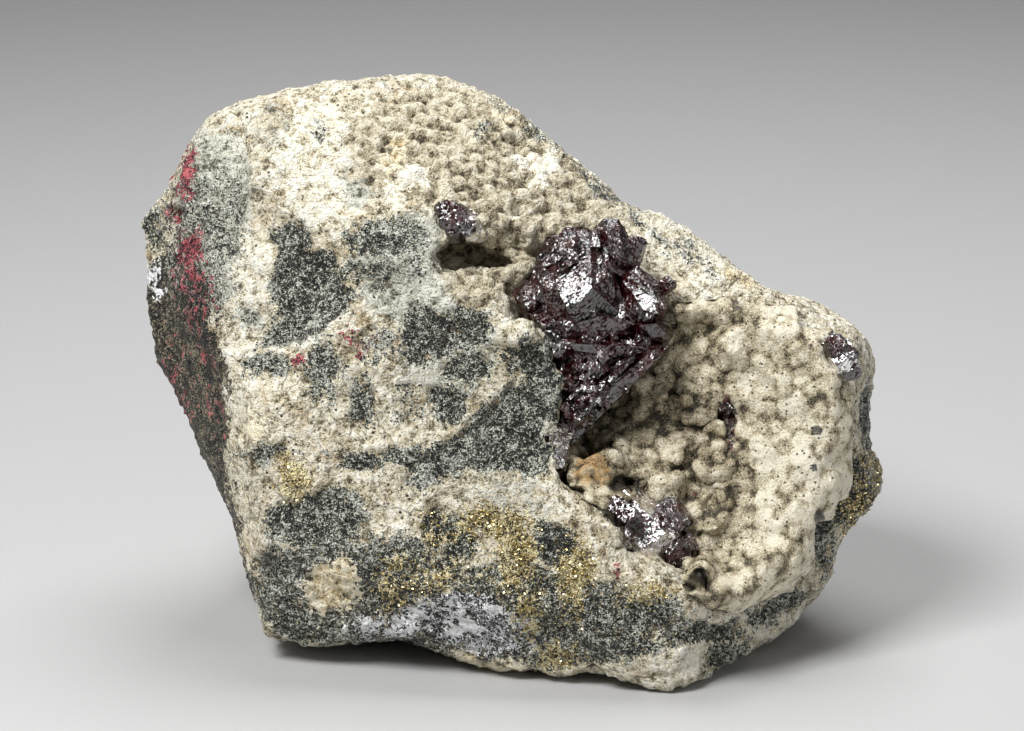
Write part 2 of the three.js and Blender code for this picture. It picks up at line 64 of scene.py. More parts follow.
# Lengths are in millimetres until a mesh is written, because the grain of the rock is under one.
mm = 0.001
rng = np.random.default_rng(6792)

# The facing plane: u runs across, v up the leaning specimen and w towards the lens.
facing = {
    "lean": math.radians(16),  # the lens looks down at this angle
    "distance": 400,  # lens to facing plane
    "centre": (0.2, 32.4),  # where the lens looks, in u and v
    "zero": (0.066, -15.232, -3.697),  # the plane's zero in the frame
    "sensor": 36,
    "lens": 140.625,
}
across = np.array((1, 0, 0))
upward = np.array((0, math.sin(facing["lean"]), math.cos(facing["lean"])))
toward = np.array((0, -math.cos(facing["lean"]), math.sin(facing["lean"])))
zero = np.array(facing["zero"])


def toPlace(u, v, w):  # from the facing plane to the frame
    shrink = 1 - w / facing["distance"]
    x = facing["centre"][0] + (u - facing["centre"][0]) * shrink
    y = facing["centre"][1] + (v - facing["centre"][1]) * shrink
    return zero + x * across + y * upward + w * toward


def toFacing(points):  # and back
    away = points - zero
    w = away @ toward
    shrink = 1 - w / facing["distance"]
    u = facing["centre"][0] + (away @ across - facing["centre"][0]) / shrink
    v = facing["centre"][1] + (away @ upward - facing["centre"][1]) / shrink
    return u, v, w


def ease(value, low, high):
    t = np.clip((value - low) / (high - low), 0, 1)
    return t * t * (3 - 2 * t)


# Small tools for meshes and materials
def linear(hexColour):
    parts = [int(hexColour[i : i + 2], 16) / 255 for i in (1, 3, 5)]
    return tuple(c / 12.92 if c <= 0.04045 else ((c + 0.055) / 1.055) ** 2.4 for c in parts) + (1,)


def addNode(tree, kind, inputs=None, stops=None, **settings):
    node = tree.nodes.new("ShaderNode" + kind)
    for name, value in settings.items():
        setattr(node, name, value)
    for key, value in (inputs or {}).items():
        if isinstance(value, bpy.types.NodeSocket):
            tree.links.new(value, node.inputs[key])
        else:
            node.inputs[key].default_value = value
    if stops:  # the places and colours of a ramp, from dark to pale
        elements = node.color_ramp.elements
        elements[0].position, elements[0].color = stops[0][0], linear(stops[0][1])
        elements[1].position, elements[1].color = stops[-1][0], linear(stops[-1][1])
        for place, colour in stops[1:-1]:
            elements.new(place).color = linear(colour)
    return node


def newMaterial(name):
    material = bpy.data.materials.new(name)
    material.use_nodes = True
    material.node_tree.nodes.clear()
    return material, material.node_tree


def addPiece(name, mesh, material):
    piece = bpy.data.objects.new(name, mesh)
    bpy.context.scene.collection.objects.link(piece)
    mesh.materials.clear()
    mesh.materials.append(material)
    return piece


def nodeCopy(node):
    bm = bmesh.new()
    bm.from_mesh(frame["nodes"][node].data)
    bmesh.ops.remove_doubles(bm, verts=bm.verts, dist=0.001 * mm)
    mesh = bpy.data.meshes.new(node + "_copy")
    bm.to_mesh(mesh)
    bm.free()
    return mesh


def modified(mesh, kind, **settings):  # the mesh that one modifier makes of it
    holder = bpy.data.objects.new("holder", mesh)
    bpy.context.scene.collection.objects.link(holder)
    modifier = holder.modifiers.new(kind.lower(), kind)
    for name, value in settings.items():
        setattr(modifier, name, value)
    bpy.context.view_layer.update()
    made = bpy.data.meshes.new_from_object(
        holder.evaluated_get(bpy.context.evaluated_depsgraph_get())
    )
    bpy.data.objects.remove(holder)
    return made


def refined(mesh, rounds, picked):  # smooths a piece and cuts the picked faces in four
    bm = bmesh.new()
    bm.from_mesh(mesh)
    every = {"use_axis_x": True, "use_axis_y": True, "use_axis_z": True}
    for _ in range(rounds):
        bmesh.ops.smooth_vert(bm, verts=bm.verts, factor=0.5, **every)
    bm.normal_update()
    edges = {edge for face in bm.faces if picked(face) for edge in face.edges}
    bmesh.ops.subdivide_edges(bm, edges=list(edges), cuts=1, use_grid_fill=True)
    bmesh.ops.smooth_vert(bm, verts=bm.verts, factor=0.4, **every)
    bm.to_mesh(mesh)
    bm.free()
    mesh.update()
    return mesh


def readPoints(mesh):
    points = np.empty(len(mesh.vertices) * 3, np.float32)
    mesh.vertices.foreach_get("co", points)
    normals = np.empty(len(mesh.vertices) * 3, np.float32)
    mesh.vertices.foreach_get("normal", normals)
    return points.reshape(-1, 3).astype(float) / mm, normals.reshape(-1, 3).astype(float)


def writePoints(mesh, points):
    mesh.vertices.foreach_set("co", (points * mm).astype(np.float32).ravel())
    mesh.update()


def writeAttribute(mesh, name, values):
    attribute = mesh.attributes.new(name, "FLOAT", "POINT")
    attribute.data.foreach_set("value", np.asarray(values, np.float32))


def fractal(points, size, octaves=4):
    return np.array([noise.fractal(Vector(p), 0.9, 2.1, octaves) for p in points / size])


def brokenFaces(points, size, shift=0.0):  # each cell of the break is a plane with its own tilt
    heights = np.empty(len(points))
    for i, p in enumerate(points / size + shift):
        spot = Vector(p)
        middle = noise.voronoi(spot)[1][0]
        heights[i] = (spot - middle).dot(noise.noise_vector(middle * 3.7))
    return heights


def neighbours(points):
    tree = kdtree.KDTree(len(points))
    for i, p in enumerate(points):
        tree.insert(p, i)
    tree.balance()
    return tree


def seedsOn(points, spacing):  # points of the surface that are all at least spacing apart
    tree = neighbours(points)
    free = np.ones(len(points), bool)
    seeds = []
    for i in rng.permutation(len(points)):
        if free[i]:
            seeds.append(i)
            for _, near, _ in tree.find_range(points[i], spacing):
                free[near] = False
    return points[seeds]


def domes(points, seeds, radii, near=7):  # height of the dome over each point, as in a bunch of grapes
    tree = neighbours(seeds)
    heights = np.zeros(len(points))
    for i, p in enumerate(points):
        best = 0.0
        for _, j, gap in tree.find_n(p, near):
            best = max(best, radii[j] ** 2 - gap**2)
        heights[i] = math.sqrt(best)
    return heights


# Where the minerals lie on the side that is seen, in u and v. A blob is (u, v, half width, half
# height, tilt in degrees, strength), and an area is (strength, corner, corner, ...).
minerals = {
    "sulphide": {
        "blobs": [
            (-12.6, 45.2, 4.0, 2.3, 0, 0.82), (-14.2, 41.4, 3.4, 1.8, 0, 0.62),
            (-9.0, 42.6, 2.3, 1.9, 0, 0.45), (-19.1, 55.6, 1.0, 0.9, 0, 0.5),
            (-24.6, 32.6, 2.2, 1.3, 0, 0.9), (-18.8, 32.0, 1.6, 2.8, 0, 0.9),
            (-13.6, 34.2, 3.7, 2.8, 0, 0.52), (-14.8, 28.6, 1.6, 2.5, 0, 0.85),
            (-9.7, 28.7, 2.3, 2.4, 0, 0.47), (-6.4, 28.6, 1.7, 1.9, 0, 1),
            (-8.2, 35.6, 3.2, 3.0, 0, 0.85), (-4.0, 31.9, 2.4, 1.6, 0, 1),
            (-3.6, 36.6, 2.2, 3.0, 0, 0.8), (0.4, 32.6, 1.6, 1.8, 0, 0.6),
            (1.4, 34.4, 0.8, 0.9, 0, 0.9),
            (-1.8, 27.8, 2.3, 1.2, 20, 0.75), (-24.2, 23.5, 2.6, 1.0, 0, 0.75),
            (-14.9, 23.2, 2.3, 1.1, 0, 1), (-10.3, 23.3, 1.1, 0.8, 0, 1),
            (-19.1, 17.0, 4.9, 3.1, 0, 1), (-7.4, 16.2, 1.8, 2.4, 0, 1),
            (4.7, 14.9, 2.6, 2.0, 0, 1), (-5.0, 15.0, 2.0, 2.4, 0, 0.95),
            (27.3, 8.4, 2.9, 1.3, 27, 1), (20.0, 5.5, 2.5, 0.8, 8, 1),
            (21.9, 3.4, 1.9, 1.1, 27, 0.9), (31.2, 15.8, 0.75, 2.8, 6, 1),
            (36.0, 27.0, 0.7, 2.3, 0, 1), (30.5, 26.0, 0.6, 0.6, 0, 0.9),
            (30.2, 23.0, 0.5, 0.5, 0, 0.9), (34.2, 19.5, 3.4, 4.0, 0, 0.9),
            (-36.1, 46.5, 1.4, 2.2, 0, 0.7), (-26.0, 37.2, 1.2, 1.4, 0, 0.55),
            (18.6, 43.6, 2.4, 0.4, -42, 0.55), (23.4, 42.2, 1.9, 0.5, -40, 0.6),
            (-31.5, 45, 4, 10, 10, 0.55), (-28.5, 47, 3, 7, 0, 0.46),
            (8.0, 51.6, 6.0, 0.35, -41, 0.65), (-2.6, 56.4, 0.5, 0.5, 0, 0.7),
            (12.5, 7.6, 6.2, 2.8, -18, 0.72), (-22.5, 9.6, 4.0, 4.2, 0, 0.68),
        ],
        "areas": [
            (1, (-25.5, 34.5), (-23.7, 36.5), (-23.4, 39), (-23.9, 40.5), (-23.7, 42.8),
             (-23.8, 46.4), (-20.6, 46.5), (-20.3, 43.6), (-17.9, 43.3), (-16, 40.5),
             (-16.3, 38.1), (-17.9, 36.5), (-19, 35.7), (-22.4, 34.8)),
            (0.95, (-10.6, 20.5), (-8.3, 24.3), (-5, 26), (-1, 28.5), (1, 31), (1.2, 35.5), (5.5, 35),
             (6, 28), (4, 22), (0, 21.6), (-4, 21.4), (-7.4, 20.3)),
            (0.72, (-26, 13), (-21, 14.5), (-11, 16), (-4, 13), (3, 13), (9, 11.5), (18, 9),
             (17, 5), (10, 2), (3, 1.2), (-5, 3), (-17, 3.6), (-23, 4.5), (-26, 8)),
        ],
    },
    "shaleAndSideShade": {  # the darkest rock down the left edge, painted darker still as shade on that side face
        "blobs": [(-33.5, 44, 1.6, 3, 0, 0.55)],
        "areas": [
            (0.95, (-35.6, 44), (-32, 43.5), (-30.2, 41.3), (-29.5, 36.3), (-28.3, 32.7), (-28.3, 25.3),
             (-27.9, 21.7), (-27, 17), (-25.2, 9), (-29, 10), (-34, 25), (-38, 38)),
        ],
    },
    "knobby": {  # the pitted, rounded carbonate above the pocket
        "blobs": [(-24, 56.6, 1.7, 2.2, 0, 0.6), (-1, 42, 6, 3.4, 0, 1)],
        "areas": [
            (1, (-16, 56.8), (-7, 60.8), (-1, 58.8), (5, 54), (9, 49), (11.5, 47), (8, 45.5),
             (3, 43.5), (1, 38), (-4, 40), (-7, 41.5), (-8, 44), (-7, 47.5), (-12, 49.5), (-16, 52)),
        ],
    },
    "grey": {
        "blobs": [(-15.9, 51.0, 3.2, 2.4, 0, 0.8), (-10, 42, 6, 6, 0, 0.75), (-6, 34, 6, 6, 0, 0.62),
                  (-26, 37.2, 1.4, 1.6, 0, 0.8),
                  (-3.4, 36.8, 2.2, 2.4, 0, 0.8), (-23.8, 56.6, 1.8, 2.3, 0, 0.8),
                  (0, 19, 5.5, 2.6, 0, 0.5), (-29.5, 47, 4.5, 10, 0, 0.85),
                  (18, 43.6, 4, 1.4, -42, 0.6)],
        "areas": [],
    },
    "white": {
        "blobs": [(-19.7, 52.5, 3.8, 7.5, 0, 0.75), (-10.5, 50.5, 2.4, 1.4, 0, 0.8),
                  (2.8, 52.4, 1.8, 1.5, 0, 0.9), (-6.1, 45.3, 1.0, 1.1, 0, 0.7),
                  (17.5, 44.4, 6, 2.2, -38, 0.95),
                  (-23.5, 34.9, 5.0, 0.4, 10, 0.8), (24, 5.4, 8, 3, 20, 0.85), (16, 5, 4, 2.4, 0, 0.6),
                  (-26, 42, 1.6, 5, 5, 0.7), (-27.9, 31.5, 0.9, 3.6, 4, 0.85),
                  (0.8, 47.9, 1.7, 1.6, 0, 0.6)],
        "areas": [],
    },
    "silverAndGlints": {  # metallic grey grains in the lower face, with white painted glints among them
        "blobs": [(-4.2, 6.6, 6.3, 3.0, -8, 0.85), (-10.5, 7.0, 4.0, 1.0, 12, 0.8),
                  (0.5, 4.5, 3, 2, 0, 0.6)],
        "areas": [],
    },
    "glintFlecks": {  # bright white flecks among the silver grains, painted as glints
        "blobs": [(-4.8, 6.0, 1.1, 0.8, 20, 0.75), (-0.9, 7.7, 0.8, 0.7, 0, 0.7),
                  (0.9, 6.9, 0.5, 0.4, 0, 0.7),
                  (-10, 6.9, 2.6, 0.5, 12, 0.6), (-35.9, 41.4, 0.5, 0.8, 0, 0.85)],
        "areas": [],
    },
    "gold": {
        "blobs": [(-21.9, 21.2, 1.0, 1.5, 0, 0.75), (-1.6, 16.4, 2.6, 1.6, -15, 0.9),
                  (0.6, 14.2, 2.0, 3.6, 10, 0.95), (-6.5, 11.0, 3.2, 1.3, 12, 0.5),
                  (6.5, 11.4, 1.5, 3.4, -8, 0.85),
                  (-12, 9.5, 1.1, 1.4, 0, 0.5), (4.4, 3.2, 1.6, 1.4, 0, 0.55),
                  (-10.5, 11.4, 3.0, 2.2, 0, 0.36),
                  (13.5, 9.5, 2.0, 1.2, 0, 0.5), (34.4, 19.6, 2.8, 3.2, 0, 0.4),
                  (1.6, 8.6, 1.2, 2.4, 0, 0.6),
                  (-7.4, 16.2, 1.6, 2.2, 0, 0.5)],
        "areas": [],
    },
    "ochre": {
        "blobs": [(-17.8, 9.8, 2.8, 2.9, 0, 0.8), (-26, 26.2, 1.8, 2.4, 0, 0.5),
                  (-11.8, 53.2, 1.1, 1.2, 0, 0.9),
                  (0, 57.2, 1.2, 0.9, 0, 0.6), (23.2, 41.4, 2, 1.4, -30, 0.7),
                  (-5.5, 2.2, 4, 0.7, -5, 0.8),
                  (-26.5, 14.5, 1.4, 2.0, 0, 0.5), (8.2, 22.5, 1.8, 1.6, 0, 0.7)],
        "areas": [],
    },
    "red": {
        "blobs": [(-32.2, 51.8, 0.8, 1.4, 0, 0.85), (-32.0, 44.2, 0.7, 1.3, 0, 0.85),
                  (-31.4, 39.6, 2.2, 4.4, 12, 0.47), (-33.4, 30, 0.7, 3, 12, 0.42),
                  (-21.3, 33.0, 0.4, 0.4, 0, 0.7), (-15.3, 33.8, 0.35, 0.5, 0, 0.55),
                  (-15.6, 35.6, 0.4, 0.3, 0, 0.5),
                  (-30.4, 31, 0.9, 5, 10, 0.36), (-33.4, 47.8, 0.6, 1.8, 0, 0.5),
                  (11.2, 11.1, 0.25, 0.25, 0, 0.6)],
        "areas": [],
    },
}
softEdge = 1.5  # over this distance a mineral gives way to the next


def gapTo(u, v, start, end):  # distance from the line between two points
    (u0, v0), (u1, v1) = start, end
    du, dv = u1 - u0, v1 - v0
    t = np.clip(((u - u0) * du + (v - v0) * dv) / (du**2 + dv**2), 0, 1)
    return np.hypot(u - u0 - t * du, v - v0 - t * dv)


def strengthOf(mineral, u, v):  # from 0 where there is none to 1 where there is nothing else
    found = np.zeros(len(u))
    for at, up, wide, high, tilt, strength in minerals[mineral]["blobs"]:
        turn = math.radians(tilt)
        x = (u - at) * math.cos(turn) + (v - up) * math.sin(turn)
        y = (v - up) * math.cos(turn) - (u - at) * math.sin(turn)
        inside = (1 - np.hypot(x / wide, y / high)) * min(wide, high)
        full = min(softEdge, 0.8 * min(wide, high))
        found = np.maximum(found, strength * ease(inside, -softEdge, full))
    for strength, *corners in minerals[mineral]["areas"]:
        inside = np.full(len(u), 1e9)
        odd = np.zeros(len(u), bool)
        for (u0, v0), (u1, v1) in zip(corners, corners[1:] + corners[:1]):
            inside = np.minimum(inside, gapTo(u, v, (u0, v0), (u1, v1)))
            crosses = (v0 > v) != (v1 > v)
            with np.errstate(divide="ignore", invalid="ignore"):
                odd ^= crosses & (u < u0 + (v - v0) * (u1 - u0) / (v1 - v0))
        inside = np.where(odd, inside, -inside)
        found = np.maximum(found, strength * ease(inside, -softEdge, softEdge))
    return found


# Materials, with each pattern's size in millimetres
def inMillimetres(tree):
    spot = addNode(tree, "TexCoord").outputs["Object"]
    return addNode(tree, "Mapping", {"Vector": spot, "Scale": (1 / mm,) * 3}).outputs["Vector"]


def weighted(tree, start, *parts):  # start, plus each value times its share
    for value, share in parts:
        step = addNode(tree, "Math", {0: value, 1: share, 2: start}, operation="MULTIPLY_ADD")
        start = step.outputs[0]
    return start


def rockMaterial():
    # Carbonate vein rock, broken with a hammer: chalky cream with no shine, and grains of grey
    # sulphide that glint from small mirror faces where the break runs through them.
    look = {
        "noises": {  # size, detail, roughness, distortion
            "broad": (6, 3, 0.6, 0),
            "rust": (2.8, 5, 0.65, 0.6),
            "lump": (1.5, 5, 0.7, 0),
            "crumb": (0.45, 2, 0.6, 0),
            "sand": (0.15, 1, 0.6, 0),  # the finest grain that the lens still shows
        },
        "grain": 0.3,  # the grains in the grey patches
        "speck": 0.75,  # spacing of the dark specks
        "crack": 5.5,  # spacing of the hairline cracks
        "bend": (2, 3),  # size and reach of the bends in them
        "carbonate": (
            (0.1, "#4f4738"), (0.27, "#978d72"), (0.42, "#cfc6ac"), (0.6, "#e9e2cc"), (0.85, "#faf6e9"),
        ),
        "rustColour": "#c3a570",
        "crackColour": "#3d3524",
        "speckColour": "#2b2820",
        "rough": 0.78,
        "index": 1.55,
        "layers": (  # mineral, patchy or grainy, colours, raggedness of its edge, roughness, metal
            ("grey", "patchy",
             ((0.2, "#454539"), (0.38, "#9a998a"), (0.52, "#c2c0b0"), (0.8, "#e4e2d5")), 1.2, 0.7, 0),
            ("knobby", "patchy",
             ((0.18, "#4a4232"), (0.36, "#94896f"), (0.52, "#bfb498"),
              (0.82, "#e2dac4")), 0.8, 0.75, 0),
            ("white", "patchy",
             ((0.12, "#857a60"), (0.28, "#c8bea0"), (0.45, "#e6dfc8"),
              (0.75, "#f9f5e8")), 1.2, 0.75, 0),
            # The darkest rock and painted shade of the left side face, in one layer.
            ("shaleAndSideShade", "grainy",
             ((0.15, "#0a0907"), (0.42, "#1f1c15"), (0.65, "#423e30"),
              (0.97, "#978f78")), 1.3, 0.5, 0.1),
            ("sulphide", "grainy",
             ((0.17, "#0b0c0a"), (0.41, "#30322b"), (0.63, "#6a6d60"),
              (0.96, "#d4d4c8")), 1.5, 0.45, 0.25),
            # Grey metallic grains, with white painted glints at the top of the ramp.
            ("silverAndGlints", "grainy",
             ((0.28, "#131414"), (0.44, "#464847"), (0.57, "#b9bab8"),
              (0.68, "#ffffff")), 1.8, 0.35, 0.3),
            # Bright white flecks: painted glints.
            ("glintFlecks", "patchy",
             ((0.1, "#9a9c9a"), (0.3, "#e6e8e6"), (0.5, "#fbfcfb"), (0.8, "#ffffff")), 2.2, 0.4, 0),
            ("ochre", "patchy",
             ((0.15, "#7a6340"), (0.3, "#c6ae80"), (0.45, "#e4d2aa"), (0.75, "#f6eed4")), 2.4, 0.8, 0),
            ("red", "grainy",
             ((0.2, "#150b10"), (0.45, "#3e1a20"), (0.65, "#86313a"), (0.9, "#c8686c")), 1.9, 0.35, 0),
            ("gold", "grainy",
             ((0.2, "#1a1710"), (0.38, "#665b3a"), (0.55, "#b5a36a"),
              (0.75, "#efe4bc")), 3.0, 0.4, 0.3),
        ),
        "edge": (0.47, 0.53),  # where a mineral's strength turns from none to all
    }
    material, tree = newMaterial("vein_carbonate_with_sulphide")
    spot = inMillimetres(tree)
    noises = {}
    for name, (size, detail, rough, distortion) in look["noises"].items():
        noises[name] = addNode(tree, "TexNoise", {
            "Vector": spot, "Scale": 1 / size, "Detail": detail,
            "Roughness": rough, "Distortion": distortion,
        }).outputs["Fac"]
    lump, crumb, sand = noises["lump"], noises["crumb"], noises["sand"]
    grain = addNode(tree, "TexVoronoi", {"Vector": spot, "Scale": 1 / look["grain"]})
    chance = addNode(tree, "SeparateColor", {"Color": grain.outputs["Color"]})
    # Painted light and shade: the relief attribute makes the raised places of the break paler and the sunk
    # ones darker.
    relief = addNode(tree, "Attribute", attribute_name="relief").outputs["Fac"]
    values = {  # places on the colour ramps: the starts are low because a noise lies round a half
        "patchy": weighted(tree, -1.23, (lump, 1.6), (crumb, 1), (sand, 0.9), (relief, 0.9)),
        "grainy": weighted(
            tree, -2.75, (chance.outputs[0], 0.6), (sand, 2.6), (crumb, 1), (lump, 1.5),
            (noises["broad"], 0.8),
        ),
    }
    ramp = addNode(tree, "ValToRGB", {"Fac": values["patchy"]}, stops=look["carbonate"])
    colour = ramp.outputs["Color"]
    rust = addNode(tree, "MapRange", {"Value": noises["rust"], 1: 0.5, 2: 0.68, 4: 0.5}).outputs[0]
    colour = addNode(
        tree, "MixRGB", {"Fac": rust, 1: colour, 2: linear(look["rustColour"])}, blend_type="MULTIPLY"
    ).outputs[0]
    size, reach = look["bend"]
    bend = addNode(tree, "TexNoise", {"Vector": spot, "Scale": 1 / size, "Detail": 3}).outputs["Color"]
    bend = addNode(tree, "VectorMath", {0: bend, "Scale": reach}, operation="SCALE").outputs[0]
    bent = addNode(tree, "VectorMath", {0: spot, 1: bend}, operation="ADD").outputs[0]
    crack = addNode(
        tree, "TexVoronoi", {"Vector": bent, "Scale": 1 / look["crack"]}, feature="DISTANCE_TO_EDGE"
    ).outputs["Distance"]
    crack = addNode(tree, "MapRange", {"Value": crack, 1: 0.004, 2: 0.03, 3: 0.8, 4: 0}).outputs[0]
    crack = addNode(tree, "Math", {0: crack, 1: lump}, operation="MULTIPLY").outputs[0]
    colour = addNode(tree, "MixRGB", {"Fac": crack, 1: colour, 2: linear(look["crackColour"])}).outputs[0]
    dots = addNode(tree, "TexVoronoi", {"Vector": spot, "Scale": 1 / look["speck"]}).outputs["Distance"]
    dots = addNode(tree, "MapRange", {"Value": dots, 1: 0.14, 2: 0.24, 3: 1, 4: 0}).outputs[0]
    here = addNode(tree, "MapRange", {"Value": noises["broad"], 1: 0.4, 2: 0.6}).outputs[0]
    dots = addNode(tree, "Math", {0: dots, 1: here}, operation="MULTIPLY").outputs[0]
    colour = addNode(tree, "MixRGB", {"Fac": dots, 1: colour, 2: linear(look["speckColour"])}).outputs[0]
    rough, metal = look["rough"], 0.0
    low, high = look["edge"]
    for name, kind, colours, ragged, roughness, metallic in look["layers"]:
        strength = addNode(tree, "Attribute", attribute_name=name).outputs["Fac"]
        middle = 0.8 * ragged + 0.125  # of the noises that make the edge ragged
        edge = weighted(tree, -middle, (lump, ragged), (crumb, 0.6 * ragged), (chance.outputs[1], 0.25))
        edge = addNode(tree, "Math", {0: edge, 1: strength}, operation="ADD").outputs[0]
        mask = addNode(tree, "MapRange", {"Value": edge, 1: low, 2: high}).outputs[0]
        some = addNode(tree, "MapRange", {"Value": strength, 1: 0.03, 2: 0.12}).outputs[0]
        mask = addNode(tree, "Math", {0: mask, 1: some}, operation="MULTIPLY").outputs[0]
        ramp = addNode(tree, "ValToRGB", {"Fac": values[kind]}, stops=colours)
        colour = addNode(tree, "MixRGB", {"Fac": mask, 1: colour, 2: ramp.outputs["Color"]}).outputs[0]
        rough = addNode(tree, "Mix", {0: mask, 2: rough, 3: roughness}).outputs[0]
        metal = addNode(tree, "Mix", {0: mask, 2: metal, 3: metallic}).outputs[0]
    height = weighted(
        tree, 0, (lump, 0.9), (crumb, 0.4), (sand, 0.22), (grain.outputs["Distance"], 0.12),
        (dots, -0.12), (crack, -0.3),
    )
    bump = addNode(tree, "Bump", {"Strength": 1, "Distance": mm, "Height": height})
    shader = addNode(tree, "BsdfPrincipled", {
        "Base Color": colour, "Roughness": rough, "Metallic": metal, "Normal": bump.outputs[0],
        "IOR": look["index"],
    })
    addNode(tree, "OutputMaterial", {"Surface": shader.outputs[0]})
    return material


def crustMaterial():
    # Botryoidal carbonate: waxy rounded skins with painted light on their tops and painted shade between
    # them, brown dust, and tiny holes painted dark as shade.
    look = {
        "noises": {"cloud": (1.3, 5, 0.65), "sand": (0.17, 1, 0.6)},  # size, detail, roughness
        "pit": 0.7,  # spacing of the tiny holes
        # the tiny holes are painted dark: painted shade
        "pitShadeColour": "#2c2519",
        "colours": (
            (0.06, "#2c2619"), (0.26, "#675d46"), (0.45, "#978c71"), (0.68, "#beb398"),
            (0.95, "#e6dfca"),
        ),
        # The stain over the cavities is painted shade, near black, not a mineral.
        "stains": (("ochre", "#ecc898"), ("red", "#8a2c34"), ("cavityShade", "#1c1710"), ("black", "#2c2d31")),
        "rough": 0.55,
        "index": 1.55,
        "depths": (0.9, 0.7, 0.45),  # how far red, green and blue light get into it
        "glow": 0.1,
    }
    material, tree = newMaterial("botryoidal_carbonate")
    spot = inMillimetres(tree)
    noises = {}
    for name, (size, detail, rough) in look["noises"].items():
        noises[name] = addNode(tree, "TexNoise", {
            "Vector": spot, "Scale": 1 / size, "Detail": detail, "Roughness": rough,
        }).outputs["Fac"]
    cloud, sand = noises["cloud"], noises["sand"]
    pit = addNode(tree, "TexVoronoi", {"Vector": spot, "Scale": 1 / look["pit"]}).outputs["Distance"]
    # Painted light and shade: the relief attribute makes the tops of the knobs paler and the creases between
    # them darker.
    relief = addNode(tree, "Attribute", attribute_name="relief").outputs["Fac"]
    # Painted shade: this attribute leaves the left of the lining darker, as in the shade of the hollow, and
    # paler towards the right.
    hollowShadeFade = addNode(tree, "Attribute", attribute_name="hollowShadeFade").outputs["Fac"]
    value = weighted(tree, -1.22, (cloud, 1.2), (sand, 1.2), (relief, 1.1), (hollowShadeFade, 0.24))
    colour = addNode(tree, "ValToRGB", {"Fac": value}, stops=look["colours"]).outputs["Color"]
    # Painted shade: the tiny holes are painted dark.
    dots = addNode(tree, "MapRange", {"Value": pit, 1: 0.12, 2: 0.2, 3: 0.9, 4: 0}).outputs[0]
    colour = addNode(tree, "MixRGB", {"Fac": dots, 1: colour, 2: linear(look["pitShadeColour"])}).outputs[0]
    for name, stain in look["stains"]:
        strength = addNode(tree, "Attribute", attribute_name=name).outputs["Fac"]
        ragged = weighted(tree, -1.2, (cloud, 1.6), (sand, 0.8), (strength, 1))
        mask = addNode(tree, "MapRange", {"Value": ragged, 1: 0.4, 2: 0.62, 4: 0.92}).outputs[0]
        colour = addNode(
            tree, "MixRGB", {"Fac": mask, 1: colour, 2: linear(stain)}, blend_type="MULTIPLY"
        ).outputs[0]
    height = weighted(tree, 0, (cloud, 0.5), (sand, 0.14), (dots, -0.1))
    bump = addNode(tree, "Bump", {"Strength": 1, "Distance": mm, "Height": height})
    shader = addNode(tree, "BsdfPrincipled", {
        "Base Color": colour, "Roughness": look["rough"], "Normal": bump.outputs[0], "IOR": look["index"],
        "Subsurface Weight": look["glow"], "Subsurface Radius": tuple(d * mm for d in look["depths"]),
        "Subsurface Scale": 1,
    })
    addNode(tree, "OutputMaterial", {"Surface": shader.outputs[0]})
    return material


